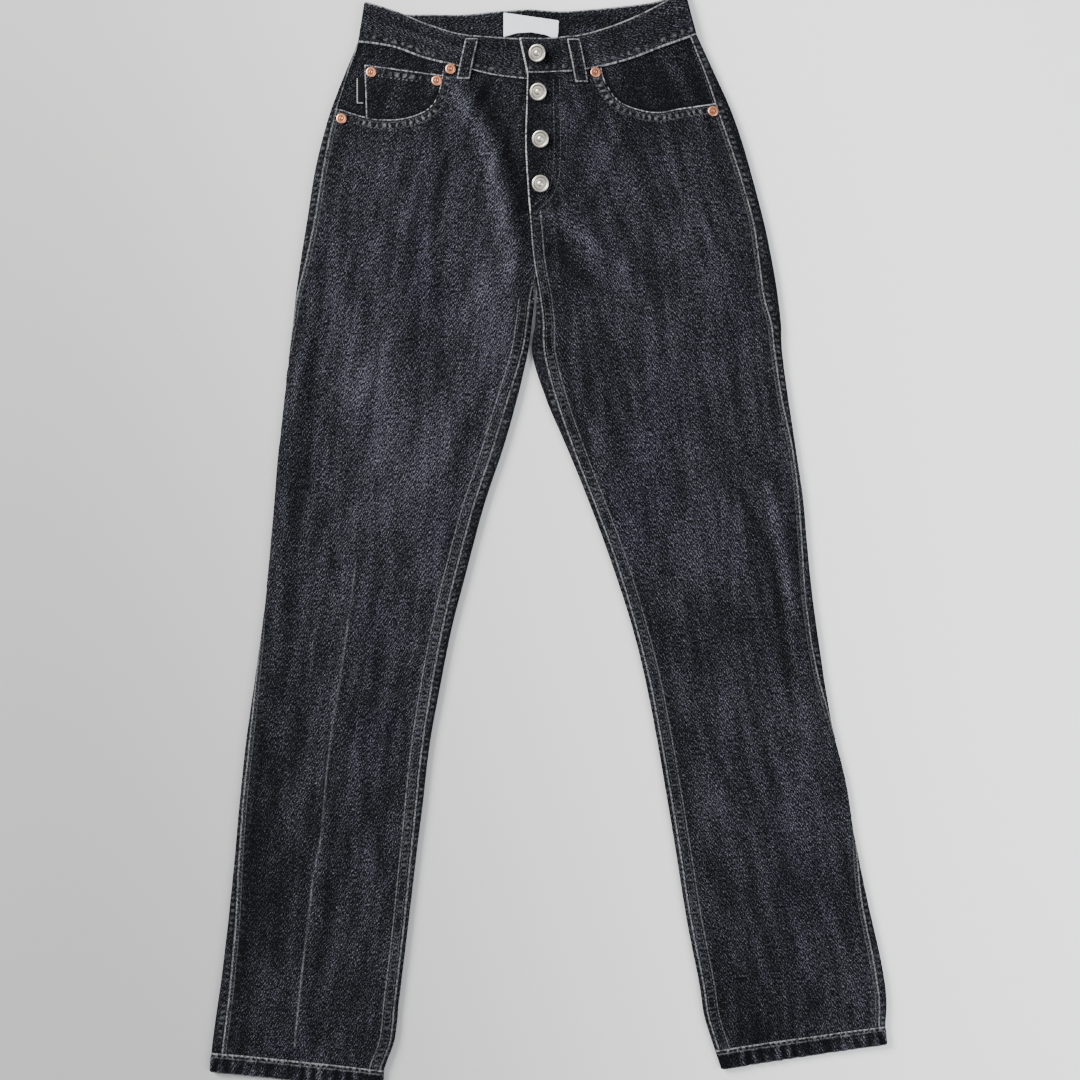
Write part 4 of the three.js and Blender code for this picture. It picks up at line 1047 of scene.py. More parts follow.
def front_values(side, rows, columns):
    """Section numbers, ways round, relief, and the values on a grid of the front."""
    s = rows[:, None]
    outseam, inseam, _ = seams_at(side, s)
    t = outseam + SEAM_GAP / 2 + (inseam - outseam - SEAM_GAP) * columns[None, :]
    s = np.broadcast_to(s, t.shape)
    flat = cloth(side, s, t, 0)
    relief, mouth, mouth_along = front_relief(side, s, t, flat, outseam, inseam)
    x, y = flat[..., 0], flat[..., 1]
    none, name = np.full(t.shape, FAR), side["name"]
    from_out, from_in = t - outseam, inseam - t
    above_hem = (HEM_SEAM - s) * LAST_SECTION
    puckers = noise((t + 0.5 * above_hem) / 7, above_hem / 60, 15)
    fade = fade_and_shade_at(x, y) + 0.22 * puckers * np.exp(-above_hem / 14)
    return s, t, relief, {
        "from_flap": np.where(y > FLAP_FOOT, from_in, FAR) if side["lap"] else none,
        "from_slot": from_slots(x, y) if side["lap"] else none,
        "from_fly": to_path(x, y, FLY_STITCH)[0] if side["lap"] else none,
        "from_crease": none if side["lap"] else to_path(x, y, PRESSED)[0],
        "from_fell": np.where(y < FELL_FROM[name], from_in, FAR),
        "from_waist": to_path(x, y, fine(side["lines"]["front"][0], 60))[0],
        "from_outseam": from_out, "from_inseam": from_in, "from_mouth": mouth, "mouth_along": mouth_along,
        "from_edge": none, "from_top": none, "down": -y,
        "grain_across": t + GRAIN_START[name], "grain_along": -y,
        # darker beside the side seam and the inside leg seam: partly the wash, partly painted shade where the
        # cloth rolls down to its edges
        "fade": fade - 0.10 * bell(from_out / 9) - 0.08 * bell(from_in / 14),
    }


print("an absent line is", FAR, "mm away")

# %% [markdown]
# ## Front panels
# The two fronts are most of what shows. Rows lie closer near the pockets, where the mouth is cut.
# Each panel gets its finish, is hung from what it rides on and hides the solid that it stands in for.
# %% Front panels
MOUTH_REACH = 3.3  # sections, so the close rows end below the pocket mouths
pieces = {}


def spread(count, ease=0.6):
    """Fractions from 0 to 1 that lie closer near both ends."""
    f = np.linspace(0, 1, count)
    return f + ease * ((1 - np.cos(math.pi * f)) / 2 - f)


def front_layer(side, name, rows, columns, inset, wall, keeps, edge=None):
    """A sheet in the front's run, so far in from its outer surface, cut by rules and with an edge."""
    s, t, relief, values = front_values(side, rows, columns)
    top = cloth(side, s, t, inset, relief=relief)
    if edge is not None:
        values["from_edge"] = edge(top[..., 0], top[..., 1])
        values["from_top"], values["mouth_along"] = to_path(top[..., 0], top[..., 1], COIN_TOP)
        values["from_foot"], _ = to_path(top[..., 0], top[..., 1], COIN_SIDE)
    under = cloth(side, s, t, inset + wall, relief=relief)
    return shell(name, top, under, values, keeps, side["turn"])


def dress(piece, nodes, finish):
    """Puts the finish on, and says what the piece rides on and stands for."""
    piece.data.materials.append(finish)
    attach(piece, "root")
    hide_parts(*nodes)
    pieces[piece.name] = piece
    return piece


panel_rows = np.concatenate([np.linspace(0.01, MOUTH_REACH, 90, endpoint=False),
                             np.linspace(MOUTH_REACH, HEM_SEAM - 0.01, 270)])
for side in SIDES.values():
    outline = scoop(side)
    keeps = [lambda data, outline=outline: -signed(data[:, 0], data[:, 1], outline)]
    if side["lap"]:
        keeps.append(lambda data: from_slots(data[:, 0], data[:, 1]))
    panel = front_layer(side, f"front_{side['name']}", panel_rows, spread(96), 0, DENIM, keeps)
    dress(panel, [f"front_panel_{side['name']}"], front_denim)
    print(panel.name, "has", len(panel.data.polygons), "faces")

# %% [markdown]
# ## Inside the pocket mouths
# The facing shows in the scoop and runs on under the front. The coin pocket lies on the right
# facing, and the blank side tab beside it. The placket under the flap carries the buttons. They
# could be flat patches, but these would stick out where the cloth rolls. So each is the same run
# of cloth, one wall lower, cut by its own outline.
# %% Facings, coin pocket, tab and placket
FACING_DEPTH, MOUTH_GAP = 12, 0.6
COIN_INSET, TAB_INSET = UNDER - GAP - POCKET_WALL, UNDER - GAP - TAPE_WALL
COIN_TOP, COIN_SIDE = [(-157, 238), (-84, 228)], [(-157, 238), (-155, 176)]
TAB_SEWN = [(-164.3, 225), (-164.3, 202.4), (-159, 202.4)]
COIN_POCKET = [(-157, 238), (-84, 228), (-79, 190), (-155, 176)]
TAB = [(-165.5, 226), (-158, 226), (-158, 201), (-165.5, 201)]
PLACKET = [(5, 223), (28, 223), (28, 122), (22, 106), (8, 99), (5, 128)]
top_rows = np.linspace(0.01, 3.4, 96)


def within(outline):
    return lambda data: signed(data[:, 0], data[:, 1], outline)


for side in SIDES.values():
    cover = scoop(side, side["turn"] * FACING_DEPTH * 0.8, -FACING_DEPTH)
    facing = front_layer(side, f"facing_{side['name']}", top_rows, spread(70), UNDER, DENIM,
                         [within(cover)])
    dress(facing, [f"pocket_facing_{side['name']}"], inner_denim)
right, left = SIDES["right"], SIDES["left"]
mouth_cut = scoop(right, -MOUTH_GAP, MOUTH_GAP)
coin = front_layer(right, "coin_pocket_cloth", top_rows, spread(150), COIN_INSET, POCKET_WALL,
                   [within(mouth_cut), within(COIN_POCKET)], lambda x, y: signed(x, y, COIN_POCKET))
dress(coin, ["coin_pocket"], coin_denim)
tab = front_layer(right, "side_tab_tape", np.linspace(0.5, 2.2, 90), spread(220), TAB_INSET, TAPE_WALL,
                  [within(TAB)], lambda x, y: signed(x, y, TAB))
placket = front_layer(left, "fly_placket_cloth", np.linspace(0.01, 4.2, 90), spread(90), UNDER, DENIM,
                      [within(PLACKET)], lambda x, y: signed(x, y, PLACKET))
dress(placket, ["fly_placket"], inner_denim)
print("pocket pieces made")

# %% [markdown]
# ## Back panels and yokes
# The back wraps over both folded edges, so it shows as a strip beside the front. The yoke joins
# it to the waistband under the seat, along a seam that falls towards the middle. Rows of points
# could be cut there, but it is cleaner to let them follow the seam and grow even further down.
# %% Backs and yokes
YOKE_SIDE, YOKE_MIDDLE, BACK_EVEN = 0.75, 1.75, 4  # sections


def back_ways(side, s, fractions):
    """Ways round the back from the side seam to the middle or the inside leg seam."""
    outseam, _, wrap = seams_at(side, s)
    length = np.where(s < CROTCH, round_length(side, "back", s), round_length(side, "front", s))
    start = outseam - SEAM_GAP / 2
    end = -length - wrap + SEAM_GAP / 2
    return start + (end - start) * fractions


def back_part(side, name, rows, fractions, row_of):
    """A sheet of the back, whose rows row_of moves to follow the yoke's seam."""
    ones = np.ones((1, len(fractions)))
    guess = back_ways(side, ones, fractions[None, :])
    across = np.clip(-guess / width_of(side, "back", ones), 0, 1)
    seam = YOKE_SIDE + (YOKE_MIDDLE - YOKE_SIDE) * across
    s = row_of(rows[:, None], seam)
    t = back_ways(side, s, fractions[None, :])
    flat = cloth(side, s, t, 0)
    x, y = flat[..., 0], flat[..., 1]
    edge = np.minimum(t[:, :1] - t, t - t[:, -1:])
    puckers = 0.25 * bell(edge / 6) * noise(y / 6, edge / 8, 71)
    relief = (0.2 * noise(t / 30, y / 50, 70) + puckers) * smooth(0.4, 2.5, flat[..., 2])
    values = {"grain_across": t + GRAIN_START["back"], "grain_along": -y, "down": -y, "from_edge": edge,
              "fade": fade_and_shade_at(x, y) * 0.6 + 0.04}
    top = cloth(side, s, t, 0, relief=relief)
    return shell(name, top, cloth(side, s, t, DENIM, relief=relief), values, (), -side["turn"])


for side in SIDES.values():
    fractions = spread(72, 0.85)
    yoke = back_part(side, f"yoke_{side['name']}_cloth", np.linspace(0, 1, 18), fractions,
                     lambda f, seam: 0.01 + (seam - 0.015) * f)
    dress(yoke, [f"yoke_{side['name']}"], back_denim)
    long_rows = np.linspace(0, HEM_SEAM - 0.01, 260)
    panel = back_part(side, f"back_{side['name']}", long_rows, fractions,
                      lambda s, seam: s + (seam + 0.005) * np.maximum(0, 1 - s / BACK_EVEN))
    dress(panel, [f"back_panel_{side['name']}"], back_denim)
    print(panel.name, "has", len(panel.data.polygons), "faces")

# %% [markdown]
# ## Waistband
# The waistband is one doubled strip. It runs from its buttoned end on the left front, round the
# back, and on under that end. It could be four pieces, but a real one has no seam in the back, so
# one grid runs all the way. Its two long edges are folded and worn, and the buttonhole is cut
# through the top end alone.
# %% Run of the waistband
BAND_HEIGHT, BAND_END_LAP, HALF_BAND = 37.0, 27.0, 330  # millimetres
LABEL_REACH = -20.0  # how far round the back a strip starts that only lies inside it


def band_cloth(s, inset, count, back_only=False):
    """The strip's points and the way along it, as grids."""
    s = s[:, None]
    f = np.linspace(0, 1, count)[None, :]
    grids, ways = [], []
    for side, order in ((left, 1), (right, -1)):
        front = round_length(side, "front", s) + (0 if side["lap"] else BAND_END_LAP)
        front = np.full_like(front, LABEL_REACH) if back_only else front
        t = front + (-round_length(side, "back", s) - front) * f
        t = t[:, ::order]
        shared = 0 if side["lap"] else 1  # both halves have the column at the middle of the back
        grids.append(cloth(side, s, t, inset, True)[:, shared:])
        ways.append((np.abs(t - t[:, :1]) + (0 if side["lap"] else HALF_BAND))[:, shared:])
    return np.concatenate(grids, 1), np.concatenate(ways, 1)


band_s = np.linspace(-0.01, -1, 26)
band_out, way = band_cloth(band_s, 0, 190)
print("the waistband's grid has", band_out.shape[1], "columns")

# %% [markdown]
# ## The waistband's finish
# The wash puckers the strip between its stitched rows and rubs both folds and the buttoned end
# pale. Its cloth runs along the strip, so the denim is turned by a right angle.
# %% Waistband
FLAP_FLOOR = 10.8  # millimetres up, between the end on top and the end below it
BAND_SHOWN = 5  # millimetres up, where the strip starts to be seen from above
from_foot, from_top = -band_s[:, None] * BAND_HEIGHT, (1 + band_s[:, None]) * BAND_HEIGHT
from_fold = np.minimum(from_foot, from_top)
band_x, band_y, band_z = np.moveaxis(band_out, -1, 0)
hole = slot_outline(*WAIST_BUTTON)
puckers = 0.22 * noise(way / 7, from_foot / 12, 81) * bell(from_fold / 8)
band_relief = 0.25 * noise(way / 30, from_foot / 30, 80) + puckers
# painted shade: a darker line 7 mm below the strip's top edge
band_fade_and_shade = 0.6 * fade_and_shade_at(band_x, band_y) - 0.06 * np.exp(-((from_top - 7) / 5) ** 2)
band_values = {
    "grain_across": way + GRAIN_START["band"], "grain_along": -from_foot, "way": way,
    "from_foot": from_foot, "from_top": from_top, "from_edge": from_fold,
    # painted shade: the strip is darker where it lies low, behind and under the front
    "from_slot": -signed(band_x, band_y, hole), "fade": band_fade_and_shade - 0.08 * (band_z < BAND_SHOWN),
}


def keep_hole(data):
    """Cuts the buttonhole, but only through the end on top."""
    return np.where(data[:, 2] > FLAP_FLOOR, -signed(data[:, 0], data[:, 1], hole), FAR)


band_in, _ = band_cloth(band_s, BAND_WALL, 190)
lift = np.zeros_like(band_out)
lift[..., 2] = np.where(band_z > BAND_SHOWN, band_relief, 0)
band = shell("waistband_cloth", band_out + lift, band_in + lift, band_values, [keep_hole], -1)
band_denim = denim_material(
    "band denim", fade=0.05, sideways=True,
    lines=[("from_foot", 0.0, 1.0, 0.85), ("from_top", 0.0, 0.9, 0.45), ("way", 0.0, 1.3, 0.95)],
    rows=[("from_foot", "way", 5.4, 3.0, 8.0, 0.20), ("from_top", "way", 3.0, 1.1, 3.2, 0.10)],
    shadows=[("from_slot", 1.5, 0.5)])
dress(band, ["waistband"], band_denim)
print("waistband faces", len(band.data.polygons))

# %% [markdown]
# ## Hems
# The hem is turned up twice, so it is thicker than the leg. Its turns were pulled askew when it
# was sewn, which ropes it: slanting ridges that the wash has rubbed pale. A cosine gives ridges at
# an even pitch and noise makes them stray, and the same ridges raise the cloth and pale it.
# %% Hems
HEM_DEPTH, HEM_START, PULL_PITCH = 18.5, 8, 12.5  # millimetres
PULL_SLANT, RIDGE_HEIGHT, RIDGE_FADE = 0.12, 0.9, 0.66


def hem_cloth(side, name):
    """A closed ring of hem, with its ridges."""
    s = np.linspace(HEM_SEAM + 0.01, HEM_EDGE, 16)[:, None]
    length = round_length(side, "front", s)
    t = HEM_START - 2 * length * np.linspace(0, 1, 210, endpoint=False)[None, :]
    s = np.broadcast_to(s, t.shape)
    depth = (s - HEM_SEAM) * HEM_DEPTH
    flat = cloth(side, s, t, 0)
    shown = smooth(1.5, 4.0, flat[..., 2])
    run = np.where(t < -length, t + 2 * length, t)
    slant = run + depth * PULL_SLANT
    pulls = np.cos(2 * math.pi * (slant / PULL_PITCH + 0.9 * noise(slant / 28, 0, 90)))
    ridges = 0.55 * pulls + 0.55 * noise(slant / 4.2, depth / 30, 91)
    ridges = ridges + 0.3 * noise(slant / 1.9, depth / 20, 92)
    relief = RIDGE_HEIGHT * ridges * smooth(0.5, 4, depth) * shown
    values = {
        "grain_across": run + GRAIN_START["hem"], "grain_along": depth, "way": run,
        "from_top": depth, "from_foot": HEM_DEPTH - depth,
        "fade": fade_and_shade_at(flat[..., 0], flat[..., 1]) + RIDGE_FADE * ridges * smooth(2, 5, depth),
    }
    top = cloth(side, s, t, 0, relief=relief)
    return shell(name, top, cloth(side, s, t, HEM_WALL, relief=relief), values, (), -side["turn"], True)


hem_denim = denim_material(
    "hem denim", fade=0.02,
    lines=[("from_top", 0.4, 1.0, 0.45), ("from_top", 3.2, 0.8, 0.18), ("from_foot", 0.0, 1.0, 0.30)],
    rows=[("from_top", "way", 1.8, 1.2, 5.2, 0.3)])
for side in SIDES.values():
    hem = hem_cloth(side, f"hem_{side['name']}_cloth")
    dress(hem, [f"hem_{side['name']}"], hem_denim)
    print(hem.name, "has", len(hem.data.polygons), "faces")

# %% [markdown]
# ## Label and side tab
# Both are plain tapes with nothing on them. The label is satin, inside the back of the waistband,
# and its lower edge sags a little. A flat rectangle would float off the curved band, so the label is
# a strip of the band's own run, one gap further in, cut by its outline.
# %% Label and tab
LABEL = [(-25.7, 288), (26, 280.5), (25, 262.5), (14, 267.5), (0, 270), (-14, 269), (-25.7, 265.5)]
label_s = np.linspace(-0.01, -1, 60)
inner_face = BAND_WALL + GAP
label_out, label_way = band_cloth(label_s, inner_face + TAPE_WALL, 150, True)
label_under, _ = band_cloth(label_s, inner_face, 150, True)
label_values = {"grain_across": label_way, "grain_along": -label_s[:, None] * BAND_HEIGHT}
label = shell("neck_label_tape", label_out, label_under, label_values, [within(LABEL)], 1)


# Radians for each millimetre across and along a tape
SATIN_RIBS, TAPE_RIBS, DASHES = (0, 9.0, 0), (6.0, 6.0, 0), 3.2


def satin(g):
    """White satin with fine ribs."""
    grain = g.read("grain", True)
    ribs = g.math("SINE", g.dot(grain, SATIN_RIBS))
    cloud = g.cloud(g.times(grain, (0.12, 0.12, 1)))
    colour = g.mix(cloud, (0.60, 0.61, 0.65, 1), (0.72, 0.73, 0.76, 1))
    ribbed = g.bump(ribs, 0.2, 0.0001)
    return {"Base Color": colour, "Roughness": 0.42, "Normal": ribbed, "Sheen Weight": 0.2}


def tape(g):
    """Black tape with a pale sewn line."""
    ribs = g.math("SINE", g.dot(g.read("grain", True), TAPE_RIBS))
    colour = g.mix(g.ease(ribs, -1, 1), (0.003, 0.003, 0.0035, 1), (0.009, 0.009, 0.010, 1))
    dashes = g.ease(g.math("SINE", g.math("MULTIPLY", g.read("down"), DASHES)), -0.4, 0.2, 0.35, 1.0)
    sewn = g.ease(g.read("from_top"), 0.75, 0.2)
    colour = g.mix(g.math("MULTIPLY", sewn, dashes), colour, (0.34, 0.34, 0.35, 1))
    return {"Base Color": colour, "Roughness": 0.9, "Specular IOR Level": 0.02}


plan = np.array([v.co for v in tab.data.vertices]) / MM - ORIGIN
from_sewn = to_path(plan[:, 0], plan[:, 1], TAB_SEWN)[0].astype(np.float32)
tab.data.attributes["from_top"].data.foreach_set("value", from_sewn)
dress(label, ["neck_label"], material("blank satin", satin))
dress(tab, ["side_tab"], material("black tape", tape))
print("label has", len(label.data.polygons), "faces, tab", len(tab.data.polygons))

# %% [markdown]
# ## Placing things on the cloth
# Loops, rivets and stitches lie on cloth that isn't flat. Their heights could be worked out from
# the pattern, but the relief and the overlaps would have to be repeated. A ray dropped on the
# finished cloth says how high it stands, so each sits on what carries it from any side.
# %% Height of the cloth
RAY_START = 0.1  # metres, above everything


def tree_of(names):
    """The faces of several pieces, ready to be hit by rays."""
    points, faces = [], []
    for name in names:
        mesh = pieces[name].data
        start = len(points)
        points += [v.co.copy() for v in mesh.vertices]
        faces += [[v + start for v in polygon.vertices] for polygon in mesh.polygons]
    return BVHTree.FromPolygons(points, faces)


COVER = ["front_right", "front_left", "facing_right", "facing_left", "coin_pocket_cloth", "waistband_cloth",
         "back_right", "back_left"]
cover_tree = tree_of(COVER)


def top_at(x, y):
    """How high the cloth stands at a point of the pattern."""
    place = metres([x, y, 0])
    hit = cover_tree.ray_cast(Vector((place[0], place[1], RAY_START)), Vector((0, 0, -1)))[0]
    return hit.z / MM if hit else 0.0


print("cloth under the first rivet is", round(top_at(-76, 234), 2), "mm up")

# %% [markdown]
# ## Belt loops
# A loop is a folded strap, sewn at both ends and a little arched between them, with both long
# edges worn pale. A bent box would do from afar. Here a grid follows the band below it and is
# rounded off at its edges.
# %% Belt loops
LOOP_WIDTH, LOOP_WALL, LOOP_ARCH, LOOP_CLEAR = 11.0, 1.5, 1.6, GAP + 0.2
FRONT_LOOPS = {"right": [(-56, 262), (-64, 225)], "left": [(40, 260.5), (48, 222)]}


def strap(name, start, end, seed):
    """A belt loop from start to end; f runs along it and g across it."""
    f, g = np.meshgrid(np.linspace(0, 1, 34), np.linspace(-1, 1, 13), indexing="ij")
    x = start[0] + (end[0] - start[0]) * f + g * LOOP_WIDTH / 2
    y = start[1] + (end[1] - start[1]) * f
    floor_z = np.array([[max(top_at(a + d, b) for d in (-3, 0, 3)) for a, b in zip(row_x, row_y)]
                        for row_x, row_y in zip(x, y)]).max(1, keepdims=True)
    floor_z = np.convolve(np.pad(floor_z[:, 0], 2, mode="edge"), np.ones(5) / 5, "valid")[:, None]
    uneven = 0.12 * noise(f * 7, g * 2, seed) - 0.25 * g**4
    z = floor_z + LOOP_CLEAR + LOOP_ARCH * np.sin(math.pi * f) + uneven
    along = np.abs(start[1] - end[1])
    edge = np.minimum((1 - np.abs(g)) * LOOP_WIDTH / 2, np.minimum(f, 1 - f) * along)
    values = {"grain_across": x + GRAIN_START["loop"], "grain_along": -y, "down": -y, "from_edge": edge,
              "fade": 0.03 * noise(f * 6, g * 2, seed)}
    top = np.stack([x, y, z + LOOP_WALL], -1)
    return shell(name, top, np.stack([x, y, z], -1), values, (), 1)


loop_denim = denim_material("loop denim", fade=-0.05, lines=[("from_edge", 0.0, 1.0, 0.62)],
                            rows=[("from_edge", "down", 2.2, 0.8, 3.0, 0.2)])
for name, (start, end) in FRONT_LOOPS.items():
    loop = strap(f"loop_front_{name}", start, end, 95)
    dress(loop, [f"belt_loop_front_{name}"], loop_denim)
    print(loop.name, "runs from", start, "to", end)

# %% [markdown]
# ## Where stitches lie
# A row of stitches follows its seam at a set distance. Curves with a bevel would make one smooth
# cord, but thread goes down into the cloth after each stitch. So each one gets a middle and a
# way, and a ray drops it on the finished cloth. Where the cloth falls off steeply there is none.
# %% Places of stitches
STEEPEST, LOWEST = 1.2, 2  # millimetres, over one stitch and above the surface


def beside(path, offset):
    """A path moved sideways, to the left of its way."""
    path = np.asarray(path, float)
    way = unit(np.gradient(path, axis=0))
    return path + np.stack([-way[:, 1], way[:, 0]], 1) * offset


def places_along(rows, pitch):
    """The middle of each stitch along rows of plan points, and the way it runs."""
    middles, ways = [], []
    for row in rows:
        row = np.asarray(row, float)
        run = np.append(0, np.cumsum(np.linalg.norm(np.diff(row, axis=0), axis=1)))
        for at in np.arange(pitch / 2, run[-1], pitch):
            reach = at + np.array([-1, 0, 1])
            spots = np.stack([np.interp(reach, run, row[:, 0]), np.interp(reach, run, row[:, 1])], 1)
            heights = [top_at(*spot) for spot in spots]
            if max(heights) - min(heights) < STEEPEST and min(heights) > LOWEST:
                middles.append([*spots[1], heights[1]])
                ways.append([*(spots[2] - spots[0]), heights[2] - heights[0]])
    return np.array(middles), unit(np.array(ways))


print("stitches need cloth over", LOWEST, "mm up")

# %% [markdown]
# ## One stitch, many times
# A stitch is a thin tube of four rings, narrow and sunk at its ends. An instance for each would be
# lighter, but one plain mesh is exported just as it is. So the rings are repeated in one mesh.
# %% Stitches
# Rings of a stitch: the way along it, its radius, and its height above the cloth, in millimetres
STITCH_RINGS = [(-1.25, 0.10, -0.16), (-0.8, 0.30, 0.05), (0.8, 0.30, 0.05), (1.25, 0.10, -0.16)]
STITCH_SIDES, THREAD_ANGLE = 6, 60


def stitches(name, rows, pitch, finish):
    """Threads along rows of plan points, as one piece."""
    middles, ways = places_along(rows, pitch)
    across = unit(np.cross([0.0, 0.0, 1.0], ways))
    up = np.cross(ways, across)
    rings = []
    for along, radius, height in STITCH_RINGS:
        for k in range(STITCH_SIDES):
            angle = 2 * math.pi * k / STITCH_SIDES
            out, rise = radius * math.cos(angle), height + radius * math.sin(angle)
            rings.append(middles + ways * along + across * out + up * rise)
    points = np.stack(rings, 1).reshape(-1, 3)
    each = len(STITCH_RINGS) * STITCH_SIDES
    pattern = [list(range(STITCH_SIDES))[::-1], list(range(each - STITCH_SIDES, each))]
    for ring in range(len(STITCH_RINGS) - 1):
        for k in range(STITCH_SIDES):
            n = (k + 1) % STITCH_SIDES
            a = ring * STITCH_SIDES
            pattern.append([a + k, a + n, a + STITCH_SIDES + n, a + STITCH_SIDES + k])
    faces = [[v + each * m for v in face] for m in range(len(middles)) for face in pattern]
    piece = build(name, points, faces, {"grain": points}, THREAD_ANGLE)
    piece.data.materials.append(finish)
    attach(piece, "root")
    print(name, len(middles), "stitches")


# %% [markdown]
# ## Rows of stitches
# The thread is dark and twisted, with paler bits where it is rubbed. Two rows run beside each
# pocket mouth, the fly's curve and the fell inside each leg, and one beside each side seam.
# %% Rows of stitches
PITCH, LEG_PITCH = 3.2, 3.4  # millimetres
THREAD_TWIST = (9.0, 9.0, 4.0)  # radians for each millimetre


def thread(g):
    """Dark thread with a twist."""
    grain = g.read("grain", True)
    cloud = g.cloud(g.times(grain, (0.5, 0.5, 0.5)), 2.0, 0.6)
    twist = g.math("SINE", g.dot(grain, THREAD_TWIST))
    colour = g.mix(g.ease(cloud, 0.35, 0.65), (0.012, 0.012, 0.015, 1), (0.10, 0.105, 0.12, 1))
    colour = g.mix(g.ease(twist, -1.0, 1.0, 0.0, 0.4), colour, (0.008, 0.008, 0.010, 1))
    return {"Base Color": colour, "Roughness": 0.8, "Specular IOR Level": 0.2}


dark_thread = material("dark thread", thread)


def seam_row(side, s_from, inset_of):
    """A row down the leg, at a way round that inset_of takes from the two seams."""
    s = np.linspace(s_from, HEM_SEAM - 0.1, 200)[:, None]
    outseam, inseam, _ = seams_at(side, s)
    return cloth(side, s, inset_of(outseam, inseam), 0)[:, 0, :2]


mouth_rows = [beside(fine(MOUTHS[name], 60), side["turn"] * far)
              for name, side in SIDES.items() for far in (2.4, 8.2)]
stitches("stitches_pockets", mouth_rows, PITCH, dark_thread)
fly_rows = [fine(FLY_STITCH, 60), beside(fine(FLY_STITCH, 60), -6.0)]
stitches("stitches_fly", fly_rows, PITCH, dark_thread)
fell_rows = [seam_row(side, 5.0 if side["lap"] else 6.3, lambda outseam, inseam, far=far: inseam - far)
             for side in SIDES.values() for far in (2.4, 7.8)]
stitches("stitches_inseams", fell_rows, LEG_PITCH, dark_thread)
side_rows = [seam_row(side, 0.3, lambda outseam, inseam: outseam + 1.8) for side in SIDES.values()]
stitches("stitches_outseams", side_rows, LEG_PITCH, dark_thread)

# %% [markdown]
# ## What lies under the seat
# The back pockets and the back loops are between the seat and the surface, so they lie flat on
# it. They show only when the garment is lifted. A plate of points a little larger than each one
# is cut by its outline, as the pocket mouths are, so its rim is rounded too.
# %% Back pockets and back loops
BACK_POCKET = [(20, 173), (28, 60), (92, 36), (156, 65), (164, 183)]
BACK_LOOPS, BACK_LOOP_FOOT, BACK_LOOP_TOP = (-96, 0, 96), 246, 286
PLATE_STEP = 2.0  # millimetres between the points


def plate(name, outline, wall, seed):
    """A flat piece of cloth on the surface."""
    xs, ys = zip(*outline)
    margin = PLATE_STEP + 1
    x, y = np.meshgrid(np.arange(min(xs) - PLATE_STEP, max(xs) + margin, PLATE_STEP),
                       np.arange(max(ys) + PLATE_STEP, min(ys) - margin, -PLATE_STEP))
    values = {"grain_across": x + GRAIN_START["seat"], "grain_along": -y, "down": x - y,
              "from_edge": signed(x, y, outline), "fade": 0.05 * noise(x / 20, y / 20, seed)}
    under = np.stack([x, y, 0 * x], -1)
    return shell(name, under, under + (0, 0, wall), values, [within(outline)], -1)


for side in SIDES.values():
    outline = [(-side["turn"] * x, y) for x, y in BACK_POCKET]
    pocket = plate(f"back_pocket_{side['name']}_cloth", outline, POCKET_WALL, 96)
    dress(pocket, [f"back_pocket_{side['name']}"], patch_denim)
for k, x in enumerate(BACK_LOOPS, 1):
    half = LOOP_WIDTH / 2
    outline = [(x - half, BACK_LOOP_FOOT), (x + half, BACK_LOOP_FOOT),
               (x + half, BACK_LOOP_TOP), (x - half, BACK_LOOP_TOP)]
    loop = plate(f"loop_back_{k}", outline, POCKET_WALL, 96 + k)
    dress(loop, [f"belt_loop_back_{k}"], loop_denim)
print("pieces so far", len(pieces))

# %% [markdown]
# ## Turned shapes
# Buttons and rivets are round, so each is a profile turned about its middle. Blender's screw
# modifier does that too, but here each ring of the profile also carries how much grime has
# settled on it, and the whole is tilted the way the cloth holds it.
# %% Turned shapes
TILT_TOWARDS, METAL_ANGLE = 0.7, 40  # radians in plan, and degrees from which an edge is sharp
TILT_AXIS = np.array([math.cos(TILT_TOWARDS), -math.sin(TILT_TOWARDS), 0.0])


def turned(name, profile, place, tilt=0.0, segments=56):
    """A turned shape from rows of radius, height and grime, tilted in degrees round TILT_AXIS."""
    rings = len(profile)
    points, grime = [], []
    for radius, height, dirt in profile:
        for j in range(segments):
            angle = 2 * math.pi * j / segments
            x, y = radius * math.cos(angle), radius * math.sin(angle)
            points.append((x, y, height))
            grime.append(dirt)
    faces = []
    for k in range(rings - 1):
        for j in range(segments):
            n = (j + 1) % segments
            below, above = k * segments, (k + 1) * segments
            faces.append([below + j, below + n, above + n, above + j])
    faces.append(list(range(segments))[::-1])
    faces.append([(rings - 1) * segments + j for j in range(segments)])
    grime = np.array(grime, float)
    points, angle = np.array(points), math.radians(tilt)
    turned_up = points * math.cos(angle) + np.cross(TILT_AXIS, points) * math.sin(angle)
    points = turned_up + np.outer(points @ TILT_AXIS, TILT_AXIS) * (1 - math.cos(angle)) + place
    return build(name, points, faces, {"grime": grime, "grain": points}, METAL_ANGLE)


print("tilt axis", TILT_AXIS.round(3))

# %% [markdown]
# ## Buttons and rivets
# The shank buttons are pressed caps with a raised rim, a sunk ring and a small dome. The rivets
# are copper, with a burr in the middle. Both are worn bright on top, and grime darkens the low
# parts. Each sits at the height of the solid that it stands in for.
# %% Buttons and rivets
CAP_RADIUS, CAP_HEIGHT = 8.3, 3.0
